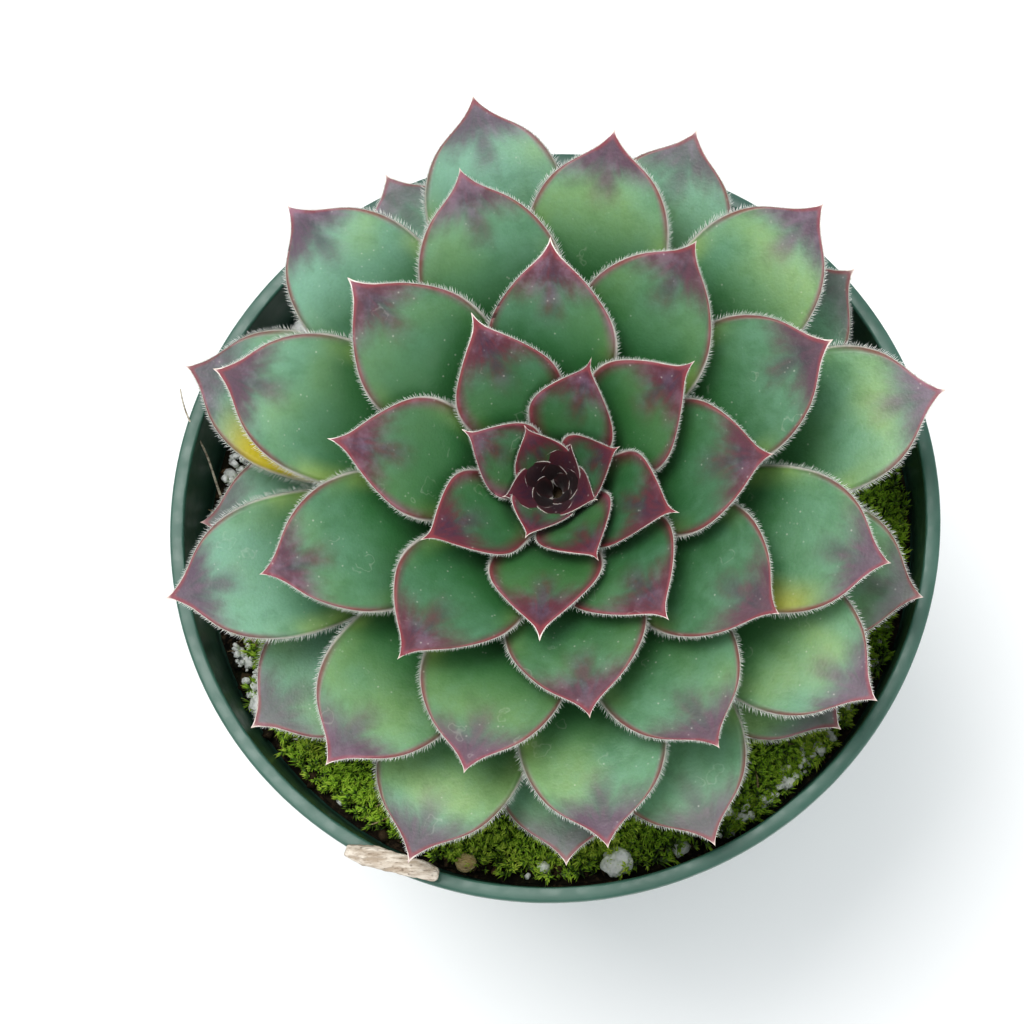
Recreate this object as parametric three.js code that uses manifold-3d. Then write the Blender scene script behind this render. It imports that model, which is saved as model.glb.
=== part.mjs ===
// A hens-and-chicks succulent in a round nursery pot: a rosette of thick pointed leaves on a short
// crown, rooted in potting mix, with moss, perlite and bark scraps lying on the mix.
// Millimetres, +Z up. The origin is the middle of the pot's underside, on the surface it stands on.
import * as THREE from "three";
import { mergeVertices } from "three/addons/utils/BufferGeometryUtils.js";
import Module from "manifold-3d";

const wasm = await Module();
wasm.setup();

const DEG = Math.PI / 180;

// Pieces that touch are kept this far apart.
const GAP = 0.3;

// Pot: a tapered wall that steps out to a collar under a rolled lip.
const POT_HEIGHT = 95;
const POT_RIM_RADIUS = 57.15;
const POT_LIP_WIDTH = 2.2;
const POT_LIP_HEIGHT = 1.8;
const POT_LIP_ROUND = 0.5;
const POT_COLLAR_HEIGHT = 13;
const POT_COLLAR_TOP_RADIUS = 56.1;
const POT_COLLAR_FOOT_RADIUS = 55.1;
const POT_SHOULDER_RADIUS = 53.6;
const POT_SHOULDER_DROP = 2;
const POT_BASE_RADIUS = 41;
const POT_FOOT_CHAMFER = 1.6;
const POT_WALL = 1.2;
const POT_FLOOR = 1.6;
const POT_SEGMENTS = 64;
const DRAIN_HOLES = 8;
const DRAIN_RADIUS = 4;
const DRAIN_DEPTH = 7;

// Potting mix: fills the pot to a little below the lip and rises slightly to the middle.
const MIX_BELOW_RIM = 13;
const MIX_MOUND = 1;
const MIX_TOP = POT_HEIGHT - MIX_BELOW_RIM + MIX_MOUND;

// Rosette: where its crown stands in the pot, how it leans, and the order of its leaves.
const ROSETTE_RIGHT = 2.2;
const ROSETTE_BACK = 3.2;
const ROSETTE_LIFT = 2.5;
const ROSETTE_LEAN = 5.5 * DEG;
const ROSETTE_LEAN_TOWARD = 228 * DEG;
const FAVOUR = 2.5;
const FAVOURED_SIDE = 150 * DEG;
const LEAF_COUNT = 46;
const GOLDEN_ANGLE = 137.508 * DEG;
const OLDEST_AZIMUTH = 308.5 * DEG;
const SWING_BIAS = 5.5 * DEG;
const SWING = 8.8 * DEG;
const SWING_TOWARD = 214 * DEG;

// How far some leaves stand off the even spiral, in degrees, by their number.
const PUSHED = {
  1: 5,
  3: 5,
  4: 3,
  5: -6,
  8: 3,
  9: -3,
  18: -5,
  19: -9,
  20: 4,
  22: -4,
  23: -10,
  26: -7,
  27: -5,
  31: -8,
  33: 7,
  38: 14,
  39: -5,
  41: 7,
  43: 13,
  45: 6,
  46: 15,
};

// Crown: the domed stem that carries the leaves, the root neck under it and the unopened bud on top.
const CROWN_RADIUS = 12;
const CROWN_CLEARANCE = 0.75;
const CROWN_WAIST = 30 * DEG;
const NECK_RADIUS = 4.5;
const NECK_DEPTH = 14;
const BUD_HEIGHT = 11.5;
const BUD_FOOT_RADIUS = 1.4;
const BUD_WIDEST_RADIUS = 3;

// Moss cushions: the part of the pot each one fills, its reach from the pot's axis and its height.
const MOSS = [
  { name: "moss_front", from: 214 * DEG, to: 296 * DEG, inner: 27, outer: 48.2, rise: 4.5 },
  { name: "moss_right", from: 300 * DEG, to: 378 * DEG, inner: 30, outer: 50.5, rise: 4 },
  { name: "moss_left", from: 184 * DEG, to: 203 * DEG, inner: 36, outer: 48.5, rise: 3.2 },
];
const MOSS_THIN = 0.9;

// Loose scraps. Each lies at an angle round the pot and a distance from its axis.
const PERLITE = [
  { name: "perlite_front", angle: 280 * DEG, reach: 51.1, size: 2.3 },
  { name: "perlite_left", angle: 210.5 * DEG, reach: 51.2, size: 2.1 },
  { name: "perlite_back", angle: 140 * DEG, reach: 51.4, size: 1.9 },
];
const BARK_STICK = {
  angle: 246 * DEG,
  reach: 56.2,
  skew: 9 * DEG,
  length: 14,
  width: 3.4,
  thickness: 2.2,
};
const BARK_CHIP = { angle: 255 * DEG, reach: 51.7, size: 1.75 };

// Leaves. Age runs from 0 for the oldest and outermost to 1 for the youngest.
const LEAF_REACH = 57.8;
const OLDEST_SHORTFALL = 4;
const HEART_RADIUS = 8.5;
const LEAF_HALF_WIDTH = 10.9;
const LEAF_THICKNESS = 3;
const LEAF_BASE_SHARE = 0.34;
const LEAF_WIDEST = 0.66;
const SPINE_LENGTH = 2;
const SPINE_HALF_WIDTH = 0.8;
const MIDLINE_STEPS = 60;
// Shares of the length at which a leaf has a ring of corners, and the corners of each ring.
const LEAF_STATIONS = [0, 0.13, 0.28, 0.42, 0.54, 0.64, 0.73, 0.81, 0.88, 0.94, 0.975];
const RING = [
  { across: -1, under: 0 },
  { across: -0.55, under: 0 },
  { across: 0, under: 0 },
  { across: 0.55, under: 0 },
  { across: 1, under: 0 },
  { across: 0.55, under: 1 },
  { across: 0, under: 1 },
  { across: -0.55, under: 1 },
];

const LEAF_GREEN = { color: 0x5f8f6c, roughness: 0.5, metalness: 0 };
const BUD_MAROON = { color: 0x57253a, roughness: 0.5, metalness: 0 };
const POT_GREEN = { color: 0x2c4a40, roughness: 0.45, metalness: 0 };
const MIX_BROWN = { color: 0x2a2118, roughness: 0.95, metalness: 0 };
const CROWN_TAN = { color: 0x8a7a52, roughness: 0.8, metalness: 0 };
const MOSS_GREEN = { color: 0x4a6a1c, roughness: 0.95, metalness: 0 };
const PERLITE_WHITE = { color: 0xd6dfe2, roughness: 0.9, metalness: 0 };
const BARK_TAN = { color: 0xb9a78d, roughness: 0.9, metalness: 0 };

const mix = (a, b, t) => a + (b - a) * t;
const clamp = (t) => Math.min(1, Math.max(0, t));
const smooth = (t) => clamp(t) ** 2 * (3 - 2 * clamp(t));

function addNode(parent, name, geometry, look) {
  const mesh = new THREE.Mesh(geometry, new THREE.MeshStandardMaterial(look));
  mesh.name = name;
  parent.add(mesh);
  return mesh;
}

// A few smooth hills and hollows between -1 and 1, different for every shift.
const waves = (x, y, z, shift) =>
  (Math.sin(1.7 * x + shift) + Math.sin(1.3 * y + 2.1 * shift) + Math.sin(1.9 * z + 0.7 * shift)) / 3;

// A geometry's corners moved by a function, with corners that meet made one.
function reshape(geometry, move) {
  const bare = new THREE.BufferGeometry();
  bare.setAttribute("position", geometry.getAttribute("position").clone());
  bare.setIndex(geometry.getIndex());
  const spots = bare.getAttribute("position");
  const spot = new THREE.Vector3();
  for (let i = 0; i < spots.count; i++) {
    spots.setXYZ(i, ...move(spot.fromBufferAttribute(spots, i)).toArray());
  }
  return mergeVertices(bare, 1e-3);
}

// A profile of [radius, height] points turned about the upright axis.
function turned(profile, segments = POT_SEGMENTS) {
  const points = profile.map(([radius, height]) => new THREE.Vector2(radius, height));
  const geometry = new THREE.LatheGeometry(points, segments).rotateX(Math.PI / 2);
  return reshape(geometry, (spot) => spot);
}

function toSolid(geometry) {
  const bare = reshape(geometry, (spot) => spot);
  return new wasm.Manifold(
    new wasm.Mesh({
      numProp: 3,
      vertProperties: bare.getAttribute("position").array,
      triVerts: new Uint32Array(bare.getIndex().array),
    }),
  );
}

function fromSolid(solid) {
  const { vertProperties, triVerts } = solid.getMesh();
  const geometry = new THREE.BufferGeometry();
  geometry.setAttribute("position", new THREE.BufferAttribute(vertProperties, 3));
  geometry.setIndex(new THREE.BufferAttribute(triVerts, 1));
  return geometry;
}

// ---- Pot and mix --------------------------------------------------------------------------------

function potGeometry() {
  const collarFoot = POT_HEIGHT - POT_COLLAR_HEIGHT;
  const shoulder = collarFoot - POT_SHOULDER_DROP;
  const lipInner = POT_RIM_RADIUS - POT_LIP_WIDTH;
  const solid = toSolid(
    turned([
      [0, 0],
      [POT_BASE_RADIUS - POT_FOOT_CHAMFER, 0],
      [POT_BASE_RADIUS, POT_FOOT_CHAMFER],
      [POT_SHOULDER_RADIUS, shoulder],
      [POT_COLLAR_FOOT_RADIUS, collarFoot],
      [POT_COLLAR_TOP_RADIUS, POT_HEIGHT - POT_LIP_HEIGHT],
      [POT_RIM_RADIUS, POT_HEIGHT - POT_LIP_HEIGHT],
      [POT_RIM_RADIUS, POT_HEIGHT - POT_LIP_ROUND],
      [POT_RIM_RADIUS - POT_LIP_ROUND, POT_HEIGHT],
      [lipInner + POT_LIP_ROUND, POT_HEIGHT],
      [lipInner, POT_HEIGHT - POT_LIP_ROUND],
      [POT_COLLAR_FOOT_RADIUS - POT_WALL, collarFoot],
      [POT_SHOULDER_RADIUS - POT_WALL, shoulder],
      [POT_BASE_RADIUS - POT_WALL, POT_FLOOR],
      [0, POT_FLOOR],
    ]),
  );
  // The holes cut through the corner where the wall meets the floor.
  const holes = [];
  for (let i = 0; i < DRAIN_HOLES; i++) {
    const turn = (i + 0.5) * ((2 * Math.PI) / DRAIN_HOLES);
    const hole = new THREE.CylinderGeometry(DRAIN_RADIUS, DRAIN_RADIUS, 2 * DRAIN_DEPTH, 20);
    holes.push(toSolid(hole.rotateZ(Math.PI / 2).translate(POT_BASE_RADIUS, 0, 0).rotateZ(turn)));
  }
  return fromSolid(solid.subtract(wasm.Manifold.union(holes)));
}

// The mix's surface falls evenly from the pot's axis to its wall.
const mixTopAt = (radius) => MIX_TOP - (MIX_MOUND * radius) / POT_COLLAR_FOOT_RADIUS;

function mixGeometry(pocket) {
  const collarFoot = POT_HEIGHT - POT_COLLAR_HEIGHT;
  const shoulder = collarFoot - POT_SHOULDER_DROP;
  const edge = POT_COLLAR_FOOT_RADIUS - POT_WALL - GAP;
  const solid = toSolid(
    turned([
      [0, POT_FLOOR + GAP],
      [POT_BASE_RADIUS - POT_WALL - GAP, POT_FLOOR + GAP],
      [POT_SHOULDER_RADIUS - POT_WALL - GAP, shoulder],
      [edge, collarFoot],
      [edge, mixTopAt(edge)],
      [0, MIX_TOP],
    ]),
  );
  return fromSolid(solid.subtract(pocket));
}

// ---- Crown and bud ------------------------------------------------------------------------------

// The crown's outline from its top to the bottom of the neck, in the rosette's own frame.
function crownGeometry(grow) {
  const radius = CROWN_RADIUS - CROWN_CLEARANCE + grow;
  const profile = [[0, -NECK_DEPTH - grow]];
  profile.push([0.7 * NECK_RADIUS + grow, -NECK_DEPTH - grow]);
  profile.push([NECK_RADIUS + grow, -0.7 * NECK_DEPTH]);
  for (let i = 0; i < 9; i++) {
    const angle = mix(-CROWN_WAIST, 90 * DEG, i / 8);
    profile.push([i === 8 ? 0 : radius * Math.cos(angle), radius * Math.sin(angle)]);
  }
  return turned(profile, 32);
}

// The youngest leaves, still closed over the growing point.
function budGeometry() {
  const profile = [
    [0, 0],
    [BUD_FOOT_RADIUS, 0],
    [mix(BUD_FOOT_RADIUS, BUD_WIDEST_RADIUS, 0.5), 0.3 * BUD_HEIGHT],
    [BUD_WIDEST_RADIUS, 0.68 * BUD_HEIGHT],
    [0.62 * BUD_WIDEST_RADIUS, 0.9 * BUD_HEIGHT],
    [0, BUD_HEIGHT],
  ];
  return turned(profile, 16).translate(0, 0, CROWN_RADIUS);
}


// ---- Leaves -------------------------------------------------------------------------------------

// The sizes and set of a leaf. Its rise is how far up the crown's dome it starts, and its reach is
// its tip's distance from the rosette's axis. Leaves of middling age reach further on one side.
function leafLaw(age, azimuth) {
  const inward = clamp((age - 0.27) / 0.73) ** 1.25;
  const oldest = 1 - smooth(age / 0.25);
  const middling = Math.sin(Math.PI * clamp((age - 0.2) / 0.75));
  const favour = FAVOUR * middling * Math.cos(azimuth - FAVOURED_SIDE);
  return {
    rise: mix(4, 80, age ** 1.05) * DEG,
    basePitch: mix(27, 86, age ** 1.2) * DEG,
    tipPitch: mix(10, 50, 0.4 * age + 0.6 * age ** 3.5) * DEG,
    reach: mix(LEAF_REACH, HEART_RADIUS, inward) - OLDEST_SHORTFALL * oldest + favour,
    halfWidth: LEAF_HALF_WIDTH * (1 - 0.5 * clamp((age - 0.6) / 0.4) ** 1.4),
    thickness: LEAF_THICKNESS * (1 - 0.7 * age ** 1.3),
    wrap: mix(0.85, 0.92, age),
    cup: mix(0.04, 0.09, Math.sin(Math.PI * age)),
  };
}

// The half-width of the blade at a share of its length, as a share of the widest. The blade
// narrows to a short spine at its tip.
function outline(u, law, length) {
  const bladeEnd = 1 - (0.6 * SPINE_LENGTH) / length;
  const base = mix(LEAF_BASE_SHARE, 1, smooth(u / LEAF_WIDEST) ** 0.9);
  const toTip = clamp((bladeEnd - u) / (bladeEnd - LEAF_WIDEST));
  const blade = u < LEAF_WIDEST ? base : 1 - (1 - toTip) ** 2.2;
  const spine = (SPINE_HALF_WIDTH / law.halfWidth) * clamp(((1 - u) * length) / SPINE_LENGTH);
  return Math.max(blade, spine);
}

// How steeply a leaf climbs at a share of its length.
const pitchAt = (u, law) => mix(law.tipPitch, law.basePitch, (1 - u) ** 1.5);

// The middle of a leaf's upper face, in the upright plane through the crown's axis. The leaf is as
// long as it has to be for its tip to reach as far out as its law says.
function midline(law) {
  const start = CROWN_RADIUS * Math.cos(law.rise);
  let outward = 0;
  for (let i = 0; i < MIDLINE_STEPS; i++) {
    outward += Math.cos(pitchAt(i / MIDLINE_STEPS, law)) / MIDLINE_STEPS;
  }
  const length = (law.reach - start) / outward;
  const points = [];
  let radius = start;
  let height = CROWN_RADIUS * Math.sin(law.rise);
  for (let i = 0; i <= MIDLINE_STEPS; i++) {
    const pitch = pitchAt(i / MIDLINE_STEPS, law);
    points.push({ radius, height, pitch });
    radius += (Math.cos(pitch) * length) / MIDLINE_STEPS;
    height += (Math.sin(pitch) * length) / MIDLINE_STEPS;
  }
  return { length, at: (u) => points[Math.round(u * MIDLINE_STEPS)] };
}

// How far the upper face at a share of the length is from the lower one, in the middle.
function depthAt(u, law) {
  const fromBase = mix(0.35, 1, smooth(u / 0.55));
  const toTip = mix(1, 0.4, smooth((u - 0.7) / 0.3));
  return law.thickness * fromBase * toTip;
}

// A leaf that points along +X from the crown. Every ring of corners runs round the blade, over its
// upper face from one margin to the other and back under it. The blade curves round the axis and
// its margins turn up a little.
function leafGeometry(law) {
  const { length, at } = midline(law);
  const corners = [];
  for (const u of LEAF_STATIONS) {
    const { radius, height, pitch } = at(u);
    const half = outline(u, law, length) * law.halfWidth;
    const bend = law.wrap / Math.max(radius, 2.5);
    for (const { across, under } of RING) {
      const turn = across * half * bend;
      const sunk = under * depthAt(u, law) * (1 - Math.abs(across) ** 2.4);
      const lift = law.cup * half * across ** 2 - sunk;
      const inward = Math.sin(pitch) * lift;
      corners.push(
        radius - (1 - Math.cos(turn)) / bend - Math.cos(turn) * inward,
        Math.sin(turn) / bend - Math.sin(turn) * inward,
        height + Math.cos(pitch) * lift,
      );
    }
  }
  const { radius, height } = at(1);
  corners.push(radius, 0, height);

  const sides = RING.length;
  const lastRing = (LEAF_STATIONS.length - 1) * sides;
  const tip = lastRing + sides;
  const faces = [];
  for (let ring = 0; ring < lastRing; ring += sides) {
    for (let j = 0; j < sides; j++) {
      const a = ring + j;
      const b = ring + ((j + 1) % sides);
      faces.push(a, a + sides, b, b, a + sides, b + sides);
    }
  }
  for (let j = 0; j < sides; j++) {
    faces.push(lastRing + j, tip, lastRing + ((j + 1) % sides));
  }
  for (let j = 1; j + 1 < sides; j++) {
    faces.push(0, j, j + 1);
  }
  const geometry = new THREE.BufferGeometry();
  geometry.setAttribute("position", new THREE.Float32BufferAttribute(corners, 3));
  geometry.setIndex(faces);
  return geometry;
}

// Where a leaf stands round the axis. Each is a golden angle on from the one before, older leaves
// crowd towards one side, and some have been pushed round by their neighbours.
function leafAzimuth(order) {
  const spiral = OLDEST_AZIMUTH - GOLDEN_ANGLE * order;
  const old = 1 - smooth((order / (LEAF_COUNT - 1) - 0.35) / 0.5);
  const swing = SWING_BIAS * (2 * old - 1) + SWING * old * Math.cos(spiral - SWING_TOWARD);
  const pushed = (PUSHED[order + 1] ?? 0) * DEG;
  return spiral + swing + pushed;
}

// ---- Moss, perlite and bark ---------------------------------------------------------------------

// A cushion that fills part of a ring on the mix, thick in its middle and thin along its edges.
function mossGeometry({ from, to, inner, outer, rise }) {
  const along = Math.round(((to - from) / DEG) / 6);
  const block = new THREE.BoxGeometry(1, 1, 1, along, 5, 1);
  return reshape(block, ({ x, y, z }) => {
    const angle = mix(from, to, x + 0.5);
    const radius = mix(outer, inner, y + 0.5);
    const across = radius * Math.cos(angle);
    const up = radius * Math.sin(angle);
    const fullness = Math.sqrt(Math.cos(Math.PI * x) * Math.cos(Math.PI * y) + 1e-6);
    const depth = MOSS_THIN + rise * fullness * (0.85 + 0.15 * waves(across / 3, up / 3, 0, rise));
    return new THREE.Vector3(across, up, mixTopAt(radius) + GAP + (z > 0 ? depth : 0));
  });
}

// A rough lump standing on the mix.
function lumpGeometry({ angle, reach, size }) {
  const squash = 0.85;
  return reshape(new THREE.IcosahedronGeometry(size, 1), (spot) => {
    spot.multiplyScalar(1 + 0.12 * waves(spot.x, spot.y, spot.z, reach * angle));
    return spot.set(spot.x, spot.y, spot.z * squash);
  }).translate(
    reach * Math.cos(angle),
    reach * Math.sin(angle),
    mixTopAt(reach) + GAP + size,
  );
}

// A flat weathered sliver lying along the pot's lip.
function stickGeometry({ angle, reach, skew, length, width, thickness }) {
  return reshape(new THREE.CylinderGeometry(0.5, 0.5, 1, 10, 7), ({ x, y, z }) => {
    const taper = 0.45 + 0.55 * Math.sqrt(Math.cos(Math.PI * y * 0.92));
    const knots = taper * (1 + 0.08 * waves(9 * x, 12 * y, 9 * z, 2));
    return new THREE.Vector3(width * x * knots, length * y, thickness * z * knots);
  })
    .rotateZ(skew)
    .translate(reach, 0, POT_HEIGHT + GAP + 0.55 * thickness)
    .rotateZ(angle);
}

// ---- Assembly -----------------------------------------------------------------------------------

const object = new THREE.Group();

// The rosette leans a little, so its pieces share a tilted group.
const rosette = new THREE.Group();
rosette.position.set(ROSETTE_RIGHT, ROSETTE_BACK, MIX_TOP + ROSETTE_LIFT);
rosette.setRotationFromAxisAngle(
  new THREE.Vector3(-Math.sin(ROSETTE_LEAN_TOWARD), Math.cos(ROSETTE_LEAN_TOWARD), 0),
  ROSETTE_LEAN,
);
rosette.updateMatrix();
object.add(rosette);

const pocket = toSolid(crownGeometry(GAP).applyMatrix4(rosette.matrix));
addNode(object, "pot", potGeometry(), POT_GREEN);
addNode(object, "potting_mix", mixGeometry(pocket), MIX_BROWN);
addNode(rosette, "crown", crownGeometry(0), CROWN_TAN);
addNode(rosette, "growing_point", budGeometry(), BUD_MAROON);

for (let order = 0; order < LEAF_COUNT; order++) {
  const azimuth = leafAzimuth(order);
  const law = leafLaw(order / (LEAF_COUNT - 1), azimuth);
  const geometry = leafGeometry(law).rotateZ(azimuth);
  addNode(rosette, `leaf_${String(order + 1).padStart(2, "0")}`, geometry, LEAF_GREEN);
}

for (const cushion of MOSS) addNode(object, cushion.name, mossGeometry(cushion), MOSS_GREEN);
for (const lump of PERLITE) addNode(object, lump.name, lumpGeometry(lump), PERLITE_WHITE);
addNode(object, "bark_stick", stickGeometry(BARK_STICK), BARK_TAN);
addNode(object, "bark_chip", lumpGeometry(BARK_CHIP), BARK_TAN);

export default object;
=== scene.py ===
"""Looks of a potted houseleek: a rosette of waxy leaves over moss and potting mix.

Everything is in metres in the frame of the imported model.  Sizes that a maker would read off a
ruler are written in millimetres and turned to metres with MM.
"""

import logging
import math
from collections.abc import Iterator
from contextlib import contextmanager
from dataclasses import dataclass, field
from enum import Enum

import bpy
import numpy as np
from mathutils import Matrix, Vector, noise
from mathutils.bvhtree import BVHTree

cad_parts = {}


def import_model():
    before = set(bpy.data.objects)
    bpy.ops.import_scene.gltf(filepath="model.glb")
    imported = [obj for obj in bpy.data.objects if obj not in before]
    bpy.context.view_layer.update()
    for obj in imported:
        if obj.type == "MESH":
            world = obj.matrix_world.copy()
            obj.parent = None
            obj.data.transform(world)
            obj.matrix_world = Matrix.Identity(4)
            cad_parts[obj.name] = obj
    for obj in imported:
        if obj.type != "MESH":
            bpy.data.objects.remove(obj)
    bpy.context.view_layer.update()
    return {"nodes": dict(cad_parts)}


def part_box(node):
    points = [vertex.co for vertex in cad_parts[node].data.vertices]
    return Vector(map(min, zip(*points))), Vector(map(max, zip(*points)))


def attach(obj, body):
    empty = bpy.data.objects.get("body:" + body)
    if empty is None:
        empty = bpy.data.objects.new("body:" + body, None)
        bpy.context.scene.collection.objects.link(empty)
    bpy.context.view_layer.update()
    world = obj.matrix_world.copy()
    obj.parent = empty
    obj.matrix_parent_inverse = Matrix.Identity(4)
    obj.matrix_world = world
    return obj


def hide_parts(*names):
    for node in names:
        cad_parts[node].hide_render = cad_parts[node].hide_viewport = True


LOG = logging.getLogger("houseleek")
MM = 0.001
WELD = 0.002 * MM
BODY = "root"
Colour = tuple[float, float, float, float]
Value = bpy.types.NodeSocket | float


class Material(Enum):
    """Kinds of material, by name."""

    POT = "pot"
    MIX = "mix"
    CROWN = "crown"
    LEAF = "leaf"
    MOSS = "moss"
    PERLITE = "perlite"
    BARK = "bark"


# ---------------------------------------------------------------- bench tools


def paint(red: int, green: int, blue: int) -> Colour:
    """Turns a colour as a screen shows it (0-255) into the renderer's linear colour.

    Args:
        red: Red, 0 to 255.
        green: Green, 0 to 255.
        blue: Blue, 0 to 255.

    Returns:
        The linear colour with full opacity.
    """

    def linear(part: int) -> float:
        """Turns one part of the colour."""
        share = part / 255
        return share / 12.92 if share <= 0.04045 else ((share + 0.055) / 1.055) ** 2.4

    return (linear(red), linear(green), linear(blue), 1.0)


def select_only(*pieces: bpy.types.Object) -> None:
    """Deselects everything, then selects these pieces and makes the first one active.

    Args:
        pieces: The pieces to select, of which the first becomes active.
    """
    bpy.ops.object.select_all(action="DESELECT")
    for piece in pieces:
        piece.select_set(True)
    bpy.context.view_layer.objects.active = pieces[0]


@contextmanager
def editing(piece: bpy.types.Object) -> Iterator[None]:
    """Opens a piece in edit mode with all of it selected, and closes it again.

    Args:
        piece: The piece to edit.

    Yields:
        Nothing; meanwhile the piece is in edit mode.
    """
    select_only(piece)
    bpy.ops.object.mode_set(mode="EDIT")
    bpy.ops.mesh.select_all(action="SELECT")
    yield
    bpy.ops.object.mode_set(mode="OBJECT")


def started(name: str) -> bpy.types.Object:
    """Names the primitive that has just been added, and returns it.

    Args:
        name: Its new name.

    Returns:
        The primitive.
    """
    piece = bpy.context.view_layer.objects.active
    piece.name = name
    piece.data.name = name
    return piece


def settle(piece: bpy.types.Object) -> None:
    """Puts a piece's place, turn and scale into its mesh, so that its object is at the origin."""
    select_only(piece)
    bpy.ops.object.transform_apply(location=True, rotation=True, scale=True)


def apply_all(piece: bpy.types.Object) -> None:
    """Applies the piece's modifiers in their order.

    Args:
        piece: The piece that has them.
    """
    select_only(piece)
    for modifier in list(piece.modifiers):
        bpy.ops.object.modifier_apply(modifier=modifier.name)


def subdivided(piece: bpy.types.Object, levels: int, simple: bool = False) -> None:
    """Smooths or only divides a piece with an applied Subdivision Surface.

    Args:
        piece: The piece to divide.
        levels: How many times.
        simple: True to divide without rounding.
    """
    modifier = piece.modifiers.new("Rounding", "SUBSURF")
    modifier.levels = modifier.render_levels = levels
    modifier.subdivision_type = "SIMPLE" if simple else "CATMULL_CLARK"
    apply_all(piece)


def corners_of(mesh: bpy.types.Mesh) -> np.ndarray:
    """The mesh's corners as an array of rows x, y, z.

    Args:
        mesh: The mesh to read.

    Returns:
        One row for each corner.
    """
    flat = np.empty(len(mesh.vertices) * 3)
    mesh.vertices.foreach_get("co", flat)
    return flat.reshape(-1, 3)


def set_corners(mesh: bpy.types.Mesh, corners: np.ndarray) -> None:
    """Moves the mesh's corners to these rows x, y, z."""
    mesh.vertices.foreach_set("co", corners.ravel())
    mesh.update()


def roughened(
    corners: np.ndarray, normals: np.ndarray, lump: float, depth: float, seed: float
) -> np.ndarray:
    """Moves corners along their normals by smooth noise.

    Args:
        corners: Rows x, y, z.
        normals: The normal at each corner.
        lump: Size of a lump in metres.
        depth: How far the largest lumps stand out.
        seed: Shifts the noise.

    Returns:
        The moved corners.
    """
    shift = Vector((seed, 1.7 * seed, -seed))
    swell = np.array([noise.noise(Vector(corner) / lump + shift) for corner in corners])
    return corners + normals * (swell * depth)[:, None]


def normals_of(mesh: bpy.types.Mesh) -> np.ndarray:
    """The mesh's corner normals as rows x, y, z.

    Args:
        mesh: The mesh to read.

    Returns:
        One row for each corner.
    """
    flat = np.empty(len(mesh.vertices) * 3)
    mesh.vertices.foreach_get("normal", flat)
    return flat.reshape(-1, 3)


def roughen(piece: bpy.types.Object, lump: float, depth: float, seed: float) -> None:
    """Gives a piece lumps of one size, as roughened() says."""
    mesh = piece.data
    set_corners(mesh, roughened(corners_of(mesh), normals_of(mesh), lump, depth, seed))


def mesh_of(name: str, corners: np.ndarray, faces: np.ndarray) -> bpy.types.Mesh:
    """Builds a mesh from equal-sided faces.

    Args:
        name: Name of the mesh.
        corners: Rows x, y, z.
        faces: Rows of corner numbers, all of one length.

    Returns:
        The new mesh.
    """
    mesh = bpy.data.meshes.new(name)
    sides = faces.shape[1]
    mesh.vertices.add(len(corners))
    mesh.vertices.foreach_set("co", corners.astype(np.float32).ravel())
    mesh.loops.add(faces.size)
    mesh.loops.foreach_set("vertex_index", faces.astype(np.int32).ravel())
    mesh.polygons.add(len(faces))
    mesh.polygons.foreach_set("loop_start", np.arange(0, faces.size, sides, dtype=np.int32))
    mesh.update(calc_edges=True)
    mesh.validate()
    return mesh


def placed(name: str, mesh: bpy.types.Mesh) -> bpy.types.Object:
    """Puts a mesh in the scene as a new object at the origin.

    Args:
        name: Name of the object.
        mesh: Its mesh.

    Returns:
        The new object.
    """
    piece = bpy.data.objects.new(name, mesh)
    bpy.context.collection.objects.link(piece)
    return piece


def mark(mesh: bpy.types.Mesh, name: str, rows: np.ndarray) -> None:
    """Writes three numbers for each corner of a mesh, for its material to read."""
    layer = mesh.attributes.new(name, "FLOAT_VECTOR", "POINT")
    layer.data.foreach_set("vector", rows.astype(np.float32).ravel())


def claim(piece: bpy.types.Object) -> None:
    """Gives a finished piece its body.

    Args:
        piece: The finished piece.
    """
    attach(piece, BODY)
    LOG.info("%s: %d faces", piece.name, len(piece.data.polygons))


def dress(piece: bpy.types.Object, finish: bpy.types.Material) -> None:
    """Gives a finished piece its material and its body.

    Args:
        piece: The finished piece.
        finish: Its material.
    """
    piece.data.materials.clear()
    piece.data.materials.append(finish)
    claim(piece)


def shade_smooth(piece: bpy.types.Object, angle: float | None = None) -> None:
    """Shades a piece smooth, all over or only across edges flatter than an angle in degrees.

    Args:
        piece: The piece to shade.
        angle: Edges bent further than this stay sharp; None leaves no sharp edge.
    """
    select_only(piece)
    if angle is None:
        bpy.ops.object.shade_smooth()
    else:
        bpy.ops.object.shade_smooth_by_angle(angle=math.radians(angle))


def polar(angle: float, reach: float, height: float = 0.0) -> Vector:
    """A point from its direction in degrees, its distance from the pot's axis and its height."""
    turn = math.radians(angle)
    return Vector((reach * math.cos(turn), reach * math.sin(turn), height))


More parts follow.
